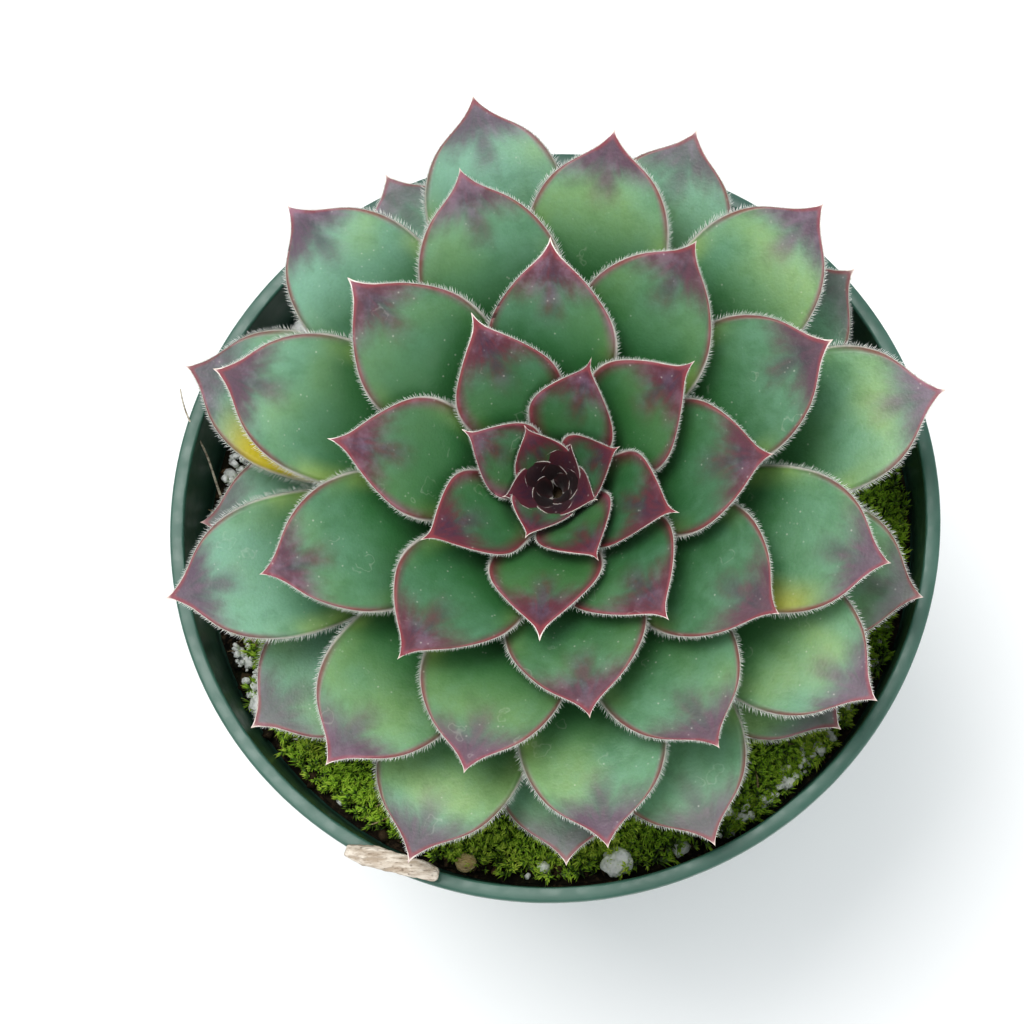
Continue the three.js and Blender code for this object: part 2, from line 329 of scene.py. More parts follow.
@dataclass(frozen=True)
class Stencil:
    """A small closed shape, modelled once about the origin, that is copied many times."""

    corners: np.ndarray
    faces: np.ndarray

    @classmethod
    def taken_from(cls, piece: bpy.types.Object) -> "Stencil":
        """Keeps a piece's triangles as a stencil, and removes the piece.

        Args:
            piece: The modelled piece, about the origin.

        Returns:
            The stencil.
        """
        with editing(piece):
            bpy.ops.mesh.quads_convert_to_tris()
        corners = corners_of(piece.data)
        faces = np.array([tuple(face.vertices) for face in piece.data.polygons])
        bpy.data.objects.remove(piece, do_unlink=True)
        return cls(corners, faces)

    def copied(self, name: str, frames: np.ndarray, shades: np.ndarray) -> bpy.types.Object:
        """Makes one mesh of many copies.

        Args:
            name: Name of the new piece.
            frames: One 4 by 4 matrix for each copy.
            shades: A number from 0 to 1 for each copy, for its material.

        Returns:
            The new piece, with its marks in the attribute "copy": shade, height and 0.
        """
        count, size = len(frames), len(self.corners)
        spread = np.concatenate([self.corners, np.ones((size, 1))], axis=1)
        corners = np.einsum("nij,kj->nki", frames, spread)[:, :, :3].reshape(-1, 3)
        faces = (self.faces[None] + (np.arange(count) * size)[:, None, None]).reshape(-1, 3)
        mesh = mesh_of(name, corners, faces)
        tall = np.ptp(self.corners[:, 2]) or 1.0
        height = (self.corners[:, 2] - self.corners[:, 2].min()) / tall
        rows = np.stack([np.repeat(shades, size), np.tile(height, count), np.zeros(size * count)], 1)
        mark(mesh, "copy", rows)
        return placed(name, mesh)


def frame_at(place: Vector, up: Vector, turn: float, size: tuple[float, float, float]) -> np.ndarray:
    """A matrix that stands a stencil at a place.

    Args:
        place: Where its origin goes.
        up: Where its Z axis points.
        turn: How far it is turned about that axis, in radians.
        size: Its scale along its own three axes.

    Returns:
        The 4 by 4 matrix.
    """
    stand = up.to_track_quat("Z", "Y").to_matrix().to_4x4()
    scale = Matrix.Diagonal((*size, 1.0))
    return np.array(Matrix.Translation(place) @ stand @ Matrix.Rotation(turn, 4, "Z") @ scale)


class Bench:
    """The nodes of one material, laid out with short calls."""

    def __init__(self, name: str) -> None:
        """Starts a material with one Principled shader.

        Args:
            name: Name of the material.
        """
        self.material = bpy.data.materials.new(name)
        self.material.use_nodes = True
        self.tree = self.material.node_tree
        self.tree.nodes.clear()
        output = self.tree.nodes.new("ShaderNodeOutputMaterial")
        self.shader = self.tree.nodes.new("ShaderNodeBsdfPrincipled")
        self.tree.links.new(self.shader.outputs["BSDF"], output.inputs["Surface"])
        self.place = self.tree.nodes.new("ShaderNodeTexCoord").outputs["Object"]

    def _feed(self, socket: bpy.types.NodeSocket, value: Value | Colour) -> None:
        """Links a socket, or sets its own number or colour.

        Args:
            socket: The input to feed.
            value: Another node's output, or a number or colour.
        """
        if isinstance(value, bpy.types.NodeSocket):
            self.tree.links.new(value, socket)
        else:
            socket.default_value = value

    def set(self, **values: Value | Colour) -> None:
        """Sets the shader's sockets; Base_Color stands for Base Color."""
        for name, value in values.items():
            self._feed(self.shader.inputs[name.replace("_", " ")], value)

    def math(self, operation: str, first: Value, second: Value = 0.0) -> bpy.types.NodeSocket:
        """One Math node.

        Args:
            operation: Blender's name of the operation.
            first: The first value.
            second: The second value, where it takes one.

        Returns:
            The result.
        """
        node = self.tree.nodes.new("ShaderNodeMath")
        node.operation = operation
        self._feed(node.inputs[0], first)
        self._feed(node.inputs[1], second)
        return node.outputs[0]

    def times(self, *values: Value) -> bpy.types.NodeSocket:
        """The product of several values.

        Args:
            values: Outputs or numbers.

        Returns:
            The product.
        """
        product = values[0]
        for value in values[1:]:
            product = self.math("MULTIPLY", product, value)
        return product

    def plus(self, *values: Value) -> bpy.types.NodeSocket:
        """The sum of several values.

        Args:
            values: Outputs or numbers.

        Returns:
            The sum.
        """
        total = values[0]
        for value in values[1:]:
            total = self.math("ADD", total, value)
        return total

    def most(self, *values: Value) -> bpy.types.NodeSocket:
        """The largest of several values.

        Args:
            values: Outputs or numbers.

        Returns:
            The largest.
        """
        largest = values[0]
        for value in values[1:]:
            largest = self.math("MAXIMUM", largest, value)
        return largest

    def ease(
        self, value: Value, low: Value, high: Value, start: Value = 0.0, end: Value = 1.0
    ) -> bpy.types.NodeSocket:
        """Goes smoothly from start to end while value goes from low to high.

        Args:
            value: What drives the change.
            low: Where the change starts.
            high: Where it ends.
            start: The result at low.
            end: The result at high.

        Returns:
            The eased value.
        """
        node = self.tree.nodes.new("ShaderNodeMapRange")
        node.interpolation_type = "SMOOTHSTEP"
        for index, part in enumerate((value, low, high, start, end)):
            self._feed(node.inputs[index], part)
        return node.outputs[0]

    def blend(
        self, share: Value, first: Value | Colour, second: Value | Colour, way: str = "MIX"
    ) -> bpy.types.NodeSocket:
        """Mixes two colours.

        Args:
            share: How much of the second colour, from 0 to 1.
            first: The first colour.
            second: The second colour.
            way: Blender's name of the way of mixing.

        Returns:
            The mixed colour.
        """
        node = self.tree.nodes.new("ShaderNodeMix")
        node.data_type = "RGBA"
        node.blend_type = way
        self._feed(node.inputs[0], share)
        self._feed(node.inputs[6], first)
        self._feed(node.inputs[7], second)
        return node.outputs[2]

    def tint(self, tone: Value | Colour, colour: Value | Colour, *shares: Value) -> bpy.types.NodeSocket:
        """Lays a colour over a tone, as strongly as the product of the shares."""
        return self.blend(self.times(*shares), tone, colour)

    def about_half(self, value: Value, reach: float) -> bpy.types.NodeSocket:
        """Turns a noise from 0 to 1 into a shift to either side of 0."""
        return self.times(self.math("SUBTRACT", value, 0.5), reach)

    def marks(self, name: str) -> tuple[bpy.types.NodeSocket, ...]:
        """The three numbers of an attribute.

        Args:
            name: Name of the attribute.

        Returns:
            Its three numbers.
        """
        source = self.tree.nodes.new("ShaderNodeAttribute")
        source.attribute_name = name
        split = self.tree.nodes.new("ShaderNodeSeparateXYZ")
        self.tree.links.new(source.outputs["Vector"], split.inputs[0])
        return tuple(split.outputs)

    def stretched(self, scale: tuple[float, float, float], turn: float = 0.0) -> bpy.types.NodeSocket:
        """Object coordinates, turned about the upright axis in degrees and scaled.

        Args:
            scale: Scale along X, Y and Z.
            turn: The turn in degrees.

        Returns:
            The coordinates.
        """
        node = self.tree.nodes.new("ShaderNodeMapping")
        self.tree.links.new(self.place, node.inputs["Vector"])
        node.inputs["Rotation"].default_value = (0.0, 0.0, math.radians(turn))
        node.inputs["Scale"].default_value = scale
        return node.outputs[0]

    def joined(self, first: Value, second: Value, third: Value) -> bpy.types.NodeSocket:
        """A vector from three values.

        Args:
            first: Its X.
            second: Its Y.
            third: Its Z.

        Returns:
            The vector.
        """
        node = self.tree.nodes.new("ShaderNodeCombineXYZ")
        for index, value in enumerate((first, second, third)):
            self._feed(node.inputs[index], value)
        return node.outputs[0]

    def warped(self, scale: float, reach: float) -> bpy.types.NodeSocket:
        """Object coordinates pushed about by noise with this many lumps in a metre.

        Args:
            scale: Lumps in a metre.
            reach: How far the noise pushes, in metres.

        Returns:
            The coordinates.
        """
        push = self.tree.nodes.new("ShaderNodeTexNoise")
        self.tree.links.new(self.place, push.inputs["Vector"])
        push.inputs["Scale"].default_value = scale
        node = self.tree.nodes.new("ShaderNodeVectorMath")
        node.operation = "MULTIPLY_ADD"
        self.tree.links.new(push.outputs["Color"], node.inputs[0])
        node.inputs[1].default_value = (reach, reach, reach)
        self.tree.links.new(self.place, node.inputs[2])
        return node.outputs[0]

    def noise(
        self,
        scale: float,
        detail: float = 2.0,
        shift: Value | None = None,
        where: bpy.types.NodeSocket | None = None,
        rough: float = 0.5,
    ) -> bpy.types.NodeSocket:
        """Soft noise from 0 to 1 with this many lumps in a metre.

        Args:
            scale: Lumps in a metre.
            detail: How many finer layers it has.
            shift: Moves the pattern, such as by a leaf's seed.
            where: Coordinates to use in place of the object's own.
            rough: How strong the finer layers are.

        Returns:
            The noise.
        """
        node = self.tree.nodes.new("ShaderNodeTexNoise")
        node.noise_dimensions = "3D" if shift is None else "4D"
        self.tree.links.new(where or self.place, node.inputs["Vector"])
        if shift is not None:
            self._feed(node.inputs["W"], shift)
        node.inputs["Scale"].default_value = scale
        node.inputs["Detail"].default_value = detail
        node.inputs["Roughness"].default_value = rough
        return node.outputs[0]

    def cells(self, scale: float, where: bpy.types.NodeSocket | None = None) -> bpy.types.NodeSocket:
        """Distance to the nearest cell centre, with this many cells in a metre.

        Args:
            scale: Cells in a metre.
            where: Coordinates to use in place of the object's own.

        Returns:
            The distance, in cells.
        """
        node = self.tree.nodes.new("ShaderNodeTexVoronoi")
        self.tree.links.new(where or self.place, node.inputs["Vector"])
        node.inputs["Scale"].default_value = scale
        return node.outputs["Distance"]

    def bump(self, height: Value, distance: float, strength: float = 1.0) -> None:
        """Raises the surface by height times distance in metres.

        Args:
            height: The pattern to raise.
            distance: Height of the relief in metres.
            strength: How strongly it shows, from 0 to 1.
        """
        node = self.tree.nodes.new("ShaderNodeBump")
        node.inputs["Strength"].default_value = strength
        node.inputs["Distance"].default_value = distance
        self._feed(node.inputs["Height"], height)
        self._feed(self.shader.inputs["Normal"], node.outputs[0])


# ------------------------------------------------------------------- finishes


@dataclass(frozen=True)
class BladeFinish:
    """Waxy leaf skin, green at the foot and maroon towards the tip.

    It reads three attributes of a leaf.  "blade" holds the distance from the tip in millimetres,
    the distance from the margin in millimetres and the place across from -1 to 1.  "leaf" holds
    the age, from 0 for the oldest leaf to 1 for the youngest and more for a bud, then a seed, and
    how strong the leaf's waxy tint is, partly its own waxy coat and partly a painted bluish sky
    sheen, strongest on the leaves turned towards the key lamp.  "sun" holds the yellow glow of its
    two sides and 1 on the underside.  Painted shade darkens the foot of each leaf, the younger
    leaves and the buds in the heart; a painted lilac highlight lies on the maroon.
    """

    deep: Colour = paint(50, 104, 56)
    green: Colour = paint(106, 150, 114)
    shade: Colour = paint(54, 98, 66)
    wax_and_sheen: Colour = paint(128, 172, 150)
    lime: Colour = paint(168, 190, 102)
    gold: Colour = paint(208, 188, 44)
    dusk: Colour = paint(98, 60, 90)
    maroon: Colour = paint(98, 36, 54)
    smudge: Colour = paint(60, 30, 60)
    band: Colour = paint(150, 66, 72)
    lilac_highlight: Colour = paint(176, 150, 172)
    rim: Colour = paint(246, 240, 230)
    thorn: Colour = paint(226, 206, 196)
    heart: Colour = paint(30, 10, 20)

    def _green(self, bench: Bench, parts: dict[str, bpy.types.NodeSocket]) -> bpy.types.NodeSocket:
        """The green of the blade: darker with painted shade at the foot, paler and waxier towards the tip.

        Args:
            bench: The material's nodes.
            parts: The leaf's marks and noises by name.

        Returns:
            The colour of the green skin.
        """
        tip, edge, across, age, wax_and_sheen, broad, patch = (
            parts[name] for name in ("tip", "edge", "across", "age", "wax_and_sheen", "broad", "patch")
        )
        # Painted shade: the younger leaves, further inside the rosette, turn towards the shade green.
        inner_shade = bench.plus(age, bench.times(patch, 0.5))
        skin = bench.blend(bench.ease(inner_shade, 0.38, 1.15), self.green, self.shade)
        # Painted reflection: a bluish waxy sheen, partly the leaf's own waxy coat, strongest on the leaves
        # turned towards the key lamp.
        bloom_and_sheen = bench.plus(patch, bench.times(wax_and_sheen, 0.35), bench.about_half(parts["streak"], 0.25))
        bloom_and_sheen = bench.times(bench.ease(bloom_and_sheen, 0.42, 0.85), wax_and_sheen)
        skin = bench.tint(skin, self.wax_and_sheen, bloom_and_sheen, bench.ease(age, 0.3, 0.8, 0.85, 0.35))
        sunny = bench.ease(bench.plus(broad, bench.times(wax_and_sheen, -0.02)), 0.42, 0.66)
        shoulder = bench.times(bench.ease(tip, 5, 11), bench.ease(tip, 14, 28, 1, 0))
        skin = bench.tint(skin, self.lime, sunny, shoulder, bench.ease(age, 0.3, 0.7, 0.44, 0.22))
        veil = bench.plus(bench.times(parts["cloud"], 0.8), bench.times(parts["streak"], 0.2))
        skin = bench.tint(skin, self.wax_and_sheen, bench.ease(veil, 0.42, 0.62), 0.15)
        skin = bench.tint(skin, self.shade, bench.ease(veil, 0.5, 0.36), 0.16)
        # Painted shade: the foot of each leaf, under the leaves above it, and the younger leaves are
        # darkened towards the deep green.
        depth = bench.plus(tip, bench.about_half(broad, 14.0), bench.times(age, 14.0))
        depth = bench.ease(depth, 13, 31)
        skin = bench.tint(skin, self.deep, depth, 0.92)
        fringe = bench.times(bench.ease(edge, 0.3, 4.2, 1, 0), bench.ease(tip, 11, 20))
        fringe = bench.times(fringe, bench.ease(patch, 0.3, 0.62), bench.ease(age, 0.5, 0.9, 1.0, 0.4))
        skin = bench.tint(skin, self.lime, fringe, 0.62)
        flank = bench.plus(
            bench.times(parts["left"], bench.ease(across, -0.95, -0.35, 1, 0)),
            bench.times(parts["right"], bench.ease(across, 0.1, 0.8)),
        )
        return bench.tint(skin, self.gold, flank, bench.ease(tip, 6, 15))

    def _flushed(
        self, bench: Bench, parts: dict[str, bpy.types.NodeSocket], skin: bpy.types.NodeSocket
    ) -> bpy.types.NodeSocket:
        """Adds the maroon: a tip, a streak down the midrib and a band along each margin, with a painted
        lilac highlight on it.

        Args:
            bench: The material's nodes.
            parts: The leaf's marks and noises by name.
            skin: The colour of the green skin.

        Returns:
            The colour with the maroon over it.
        """
        tip, edge, across, age, broad, cloud, streak = (
            parts[name] for name in ("tip", "edge", "across", "age", "broad", "cloud", "streak")
        )
        wander = bench.about_half(cloud, 2.4)
        drawn = bench.about_half(streak, 2.6)
        spread = bench.plus(tip, wander, drawn, bench.about_half(broad, 3.0))
        young = bench.ease(age, 0.5, 1.0)
        bud = bench.ease(age, 1.02, 1.2)
        aside = bench.math("ABSOLUTE", across)
        inmost = bench.ease(age, 0.84, 0.98, 0, -3.2)
        reach = bench.plus(6.6, bench.times(young, 2.0), inmost, bench.times(bud, 9.0))
        past = bench.math("SUBTRACT", spread, reach)
        end = bench.ease(past, -2.6, 3.6, 1, 0)
        rib = bench.times(
            bench.ease(bench.plus(aside, bench.times(wander, 0.03)), 0.02, 0.36, 1, 0),
            bench.ease(past, 0.5, 7.5, 1, 0),
            0.8,
        )
        nearer = bench.plus(tip, bench.times(age, -7.0))
        width = bench.plus(1.5, bench.times(young, 1.5))
        hem = bench.times(
            bench.ease(bench.plus(edge, bench.times(wander, 0.1)), 0.3, width, 1, 0),
            bench.ease(bench.plus(nearer, wander), 7, 17, 1, 0),
        )
        red = bench.most(end, rib, bench.times(hem, bench.plus(0.6, bench.times(young, 0.4))))
        ripe = bench.ease(bench.plus(age, bench.times(cloud, 0.3)), 0.4, 1.0)
        flush = bench.blend(ripe, self.dusk, self.maroon)
        dark = bench.times(
            bench.ease(aside, 0.1, 0.75, 1, 0),
            bench.ease(bench.plus(bench.times(streak, 0.5), bench.times(cloud, 0.5)), 0.36, 0.58),
            bench.ease(tip, 1.5, 5),
        )
        flush = bench.tint(flush, self.smudge, dark, 0.85)
        # Painted shade: the buds further in the heart darken to nearly black.
        flush = bench.tint(flush, self.heart, bench.ease(age, 1.06, 1.36), 0.95)
        firm = bench.plus(bench.ease(age, 0.0, 0.35, 0.6, 0.86), bench.times(young, 0.1))
        skin = bench.blend(bench.times(red, firm), skin, flush)
        band = bench.times(bench.ease(edge, 0.25, 1.0, 1, 0), bench.ease(nearer, 6, 14, 1, 0))
        band = bench.times(band, bench.ease(age, 1.0, 1.15, 1, 0.15))
        skin = bench.tint(skin, self.band, band, 0.62)
        # Painted highlight: a soft lilac-grey sheen on the maroon, stronger on the leaves with more painted
        # sky sheen and none on the buds.
        shine = bench.plus(bench.times(cloud, 0.5), bench.times(broad, 0.5))
        shine = bench.times(
            bench.ease(shine, 0.46, 0.62),
            red,
            bench.plus(0.3, parts["wax_and_sheen"]),
            bench.ease(age, 0.95, 1.1, 0.3, 0),
        )
        return bench.blend(shine, skin, self.lilac_highlight)

    def material(self) -> bpy.types.Material:
        """Builds the material.

        Returns:
            The material.
        """
        bench = Bench("leaf_skin")
        tip, edge, across = bench.marks("blade")
        age, seed, wax_and_sheen = bench.marks("leaf")
        left, right, under = bench.marks("sun")
        shift = bench.times(seed, 37.0)
        broad = bench.noise(55, 2, shift)
        patch = bench.noise(105, 3, bench.plus(shift, 5.0))
        cloud = bench.noise(380, 3, bench.plus(shift, 9.0), rough=0.6)
        grain = bench.noise(2600, 2)
        lengthwise = bench.joined(bench.times(tip, 0.2), bench.times(across, 3.4), bench.times(seed, 31.0))
        streak = bench.noise(1.5, 2, where=lengthwise)
        parts = {
            "tip": tip, "edge": edge, "across": across, "age": age, "wax_and_sheen": wax_and_sheen, "left": left,
            "right": right, "broad": broad, "patch": patch, "cloud": cloud, "streak": streak,
        }
        skin = self._flushed(bench, parts, self._green(bench, parts))

        # water marks, pores and the pale line of the margin
        size = bench.plus(0.12, bench.times(cloud, 0.14))
        drop = bench.cells(170, where=bench.warped(420, 0.004))
        ring = bench.math("ABSOLUTE", bench.math("SUBTRACT", drop, size))
        trace = bench.times(bench.ease(ring, 0.0, 0.03, 1, 0), bench.ease(patch, 0.5, 0.56))
        trace = bench.times(trace, bench.ease(cloud, 0.42, 0.52))
        pore = bench.times(bench.ease(bench.cells(900), 0.0, 0.2, 1, 0), bench.ease(cloud, 0.5, 0.62))
        chalk = bench.most(bench.times(trace, 0.09), bench.times(pore, 0.3))
        skin = bench.blend(chalk, skin, self.rim)
        skin = bench.blend(bench.times(bench.ease(grain, 0.35, 0.75), 0.07), skin, self.deep, "MULTIPLY")
        skin = bench.tint(skin, self.shade, under, 0.3)
        line = bench.times(bench.ease(tip, 9, 18, 0.27, 0.6), bench.ease(tip, 0, 5, 0.4, 1))
        line = bench.ease(bench.plus(edge, bench.times(cloud, 0.12)), 0.1, line, 1, 0)
        skin = bench.tint(skin, self.rim, line, bench.ease(age, 0.4, 0.9, 0.74, 0.96))
        skin = bench.tint(skin, self.thorn, bench.ease(tip, 0.25, 0.8, 1, 0), 0.65)

        bench.set(Base_Color=skin, Roughness=bench.ease(cloud, 0.3, 0.7, 0.36, 0.5))
        bench.set(Specular_IOR_Level=0.42, Sheen_Weight=0.12, Sheen_Roughness=0.45)
        bench.set(Subsurface_Weight=0.08, Subsurface_Radius=(0.6, 1.0, 0.35), Subsurface_Scale=0.0015)
        bench.bump(bench.plus(bench.times(grain, 0.35), cloud), 0.00012, 0.8)
        return bench.material


@dataclass(frozen=True)
class HairFinish:
    """Glassy white hairs along the leaf margins."""

    foot: Colour = paint(240, 242, 226)
    point: Colour = paint(255, 255, 252)

    def material(self) -> bpy.types.Material:
        """Builds the material.

        Returns:
            The material.
        """
        bench = Bench("margin_hair")
        shade, height, _ = bench.marks("copy")
        share = bench.plus(bench.times(height, 0.8), bench.times(shade, 0.2))
        tone = bench.blend(share, self.foot, self.point)
        mist = bench.noise(1500, 2)
        tone = bench.tint(tone, self.foot, mist, 0.15)
        bench.set(Base_Color=tone, Roughness=0.5, Specular_IOR_Level=0.4)
        bench.set(Subsurface_Weight=0.6, Subsurface_Radius=(1.0, 1.0, 0.9), Subsurface_Scale=0.0006)
        return bench.material


@dataclass(frozen=True)
class PotFinish:
    """Dark green moulded plastic with dust and fine scuffs."""

    plastic: Colour = paint(60, 98, 85)
    inner: Colour = paint(54, 90, 77)
    dust: Colour = paint(140, 166, 158)

    def material(self) -> bpy.types.Material:
        """Builds the material.

        Returns:
            The material.
        """
        bench = Bench("green_plastic")
        haze = bench.noise(38, 4, rough=0.6)
        mottle = bench.noise(420, 3)
        lines = bench.noise(90, 3, where=bench.stretched((1.0, 1.0, 26.0)))
        tone = bench.blend(bench.ease(haze, 0.2, 0.8), self.inner, self.plastic)
        dust = bench.times(bench.ease(bench.plus(haze, bench.times(mottle, 0.5)), 0.6, 1.0), 0.1)
        tone = bench.blend(dust, tone, self.dust)
        scuff = bench.times(bench.ease(lines, 0.62, 0.72), bench.ease(haze, 0.5, 0.65), 0.16)
        tone = bench.blend(scuff, tone, self.dust)
        bench.set(Base_Color=tone, Roughness=bench.ease(mottle, 0.3, 0.7, 0.3, 0.46))
        bench.set(Specular_IOR_Level=0.5)
        bench.bump(bench.plus(bench.times(lines, 0.3), bench.times(mottle, 0.4)), 0.00006, 0.6)
        return bench.material


@dataclass(frozen=True)
class EarthFinish:
    """Damp peat and composted bark."""

    name: str = "peat"
    dark: Colour = paint(20, 17, 12)
    mid: Colour = paint(50, 40, 29)
    light: Colour = paint(104, 86, 66)
    algae: Colour = paint(34, 46, 22)
    roughness: float = 0.9

    def material(self) -> bpy.types.Material:
        """Builds the material.

        Returns:
            The material.
        """
        bench = Bench(self.name)
        shade, _, _ = bench.marks("copy")
        clods = bench.noise(260, 4, rough=0.65)
        crumb = bench.noise(1300, 3, rough=0.6)
        tone = bench.blend(bench.ease(clods, 0.35, 0.7), self.dark, self.mid)
        tone = bench.tint(tone, self.light, bench.ease(crumb, 0.52, 0.72), 0.5)
        tone = bench.tint(tone, self.algae, bench.ease(bench.noise(60, 2), 0.5, 0.7), 0.5)
        tone = bench.tint(tone, self.light, shade, 0.55)
        bench.set(Base_Color=tone, Roughness=self.roughness, Specular_IOR_Level=0.25)
        bench.bump(bench.plus(clods, bench.times(crumb, 0.5)), 0.0005, 0.9)
        return bench.material


@dataclass(frozen=True)
class MossFinish:
    """Moss, dark at the foot of each shoot and bright at its points."""

    foot: Colour = paint(46, 74, 20)
    body: Colour = paint(146, 190, 44)
    point: Colour = paint(234, 246, 112)
    dry: Colour = paint(206, 198, 130)

    def material(self) -> bpy.types.Material:
        """Builds the material.

        Returns:
            The material.
        """
        bench = Bench("moss_shoots")
        shade, height, _ = bench.marks("copy")
        drift = bench.noise(110, 3)
        fleck = bench.noise(900, 2)
        rise = bench.plus(bench.times(height, 0.9), bench.about_half(drift, 0.9))
        tone = bench.blend(bench.ease(rise, 0.02, 0.62), self.foot, self.body)
        bright = bench.times(bench.ease(rise, 0.45, 1.15), bench.plus(0.35, bench.times(shade, 0.65)))
        tone = bench.blend(bright, tone, self.point)
        tone = bench.tint(tone, self.dry, bench.ease(fleck, 0.6, 0.75), height, 0.3)
        bench.set(Base_Color=tone, Roughness=0.62, Specular_IOR_Level=0.35)
        bench.set(Sheen_Weight=0.15, Sheen_Roughness=0.5)
        return bench.material


@dataclass(frozen=True)
class StoneFinish:
    """White perlite, greyer in its pits."""

    white: Colour = paint(250, 251, 250)
    grey: Colour = paint(226, 230, 226)
    stain: Colour = paint(160, 164, 138)

    def material(self) -> bpy.types.Material:
        """Builds the material.

        Returns:
            The material.
        """
        bench = Bench("perlite_grains")
        shade, _, _ = bench.marks("copy")
        pits = bench.cells(1600)
        cloud = bench.noise(500, 3)
        tone = bench.blend(bench.ease(pits, 0.15, 0.6), self.grey, self.white)
        tone = bench.tint(tone, self.stain, bench.ease(cloud, 0.5, 0.75), 0.3)
        tone = bench.tint(tone, self.grey, shade, 0.3)
        bench.set(Base_Color=tone, Roughness=0.85, Specular_IOR_Level=0.3)
        bench.bump(bench.plus(pits, bench.times(cloud, 0.6)), 0.00016, 0.7)
        return bench.material


@dataclass(frozen=True)
class BarkFinish:
    """Weathered wood, streaked along its length."""

    name: str
    along: float
    pale: Colour = paint(206, 194, 176)
    grey: Colour = paint(150, 138, 122)
    crack: Colour = paint(84, 66, 50)

    def material(self) -> bpy.types.Material:
        """Builds the material.

        Returns:
            The material.
        """
        bench = Bench(self.name)
        grainwise = bench.stretched((1.0, 5.0, 5.0), -self.along)
        streak = bench.noise(260, 4, where=grainwise, rough=0.6)
        fine = bench.noise(900, 3, where=grainwise)
        pit = bench.cells(700)
        tone = bench.blend(bench.ease(streak, 0.36, 0.66), self.grey, self.pale)
        tone = bench.tint(tone, self.crack, bench.ease(fine, 0.58, 0.72), 0.6)
        tone = bench.tint(tone, self.crack, bench.ease(pit, 0.0, 0.22, 1, 0), 0.7)
        bench.set(Base_Color=tone, Roughness=0.82, Specular_IOR_Level=0.25)
        bench.bump(bench.plus(streak, bench.times(fine, 0.6)), 0.0004, 0.9)
        return bench.material


@dataclass(frozen=True)
class StemFinish:
    """The short stem: pale green fading to corky brown at the neck."""

    green: Colour = paint(120, 140, 84)
    cork: Colour = paint(112, 92, 66)

    def material(self) -> bpy.types.Material:
        """Builds the material.

        Returns:
            The material.
        """
        bench = Bench("stem_skin")
        cloud = bench.noise(240, 3)
        fibres = bench.noise(200, 3, where=bench.stretched((4.0, 4.0, 1.0)))
        tone = bench.blend(bench.ease(cloud, 0.35, 0.7), self.cork, self.green)
        tone = bench.tint(tone, self.cork, bench.ease(fibres, 0.5, 0.7), 0.5)
        bench.set(Base_Color=tone, Roughness=0.7)
        bench.bump(fibres, 0.0003)
        return bench.material


# -------------------------------------------------------------------- rosette


@dataclass(frozen=True)
class RosettePlan:
    """Where the rosette stands and how it leans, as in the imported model."""

    foot: Vector = field(default_factory=lambda: Vector((2.2, 3.2, 85.5)) * MM)
    lean: float = 5.5
    lean_towards: float = 228.0
    leaves: int = 46
    golden_angle: float = 137.508

    @property
    def axis(self) -> Vector:
        """The direction that the rosette opens towards.

        Returns:
            A direction of length 1.
        """
        tilt = math.radians(self.lean)
        side = polar(self.lean_towards, math.sin(tilt))
        return Vector((side.x, side.y, math.cos(tilt)))

    def nested(self, step: int, share: float, floor: float) -> Matrix:
        """Turns and shrinks a leaf about the rosette's axis, for a younger leaf inside it.

        Args:
            step: How many leaves younger.
            share: Its size against the leaf that it is copied from.
            floor: Height on the axis that stays where it is.

        Returns:
            The matrix that moves the copy.
        """
        centre = self.foot + self.axis * floor
        turn = Matrix.Rotation(math.radians(-self.golden_angle * step), 4, self.axis)
        return Matrix.Translation(centre) @ turn @ Matrix.Scale(share, 4) @ Matrix.Translation(-centre)


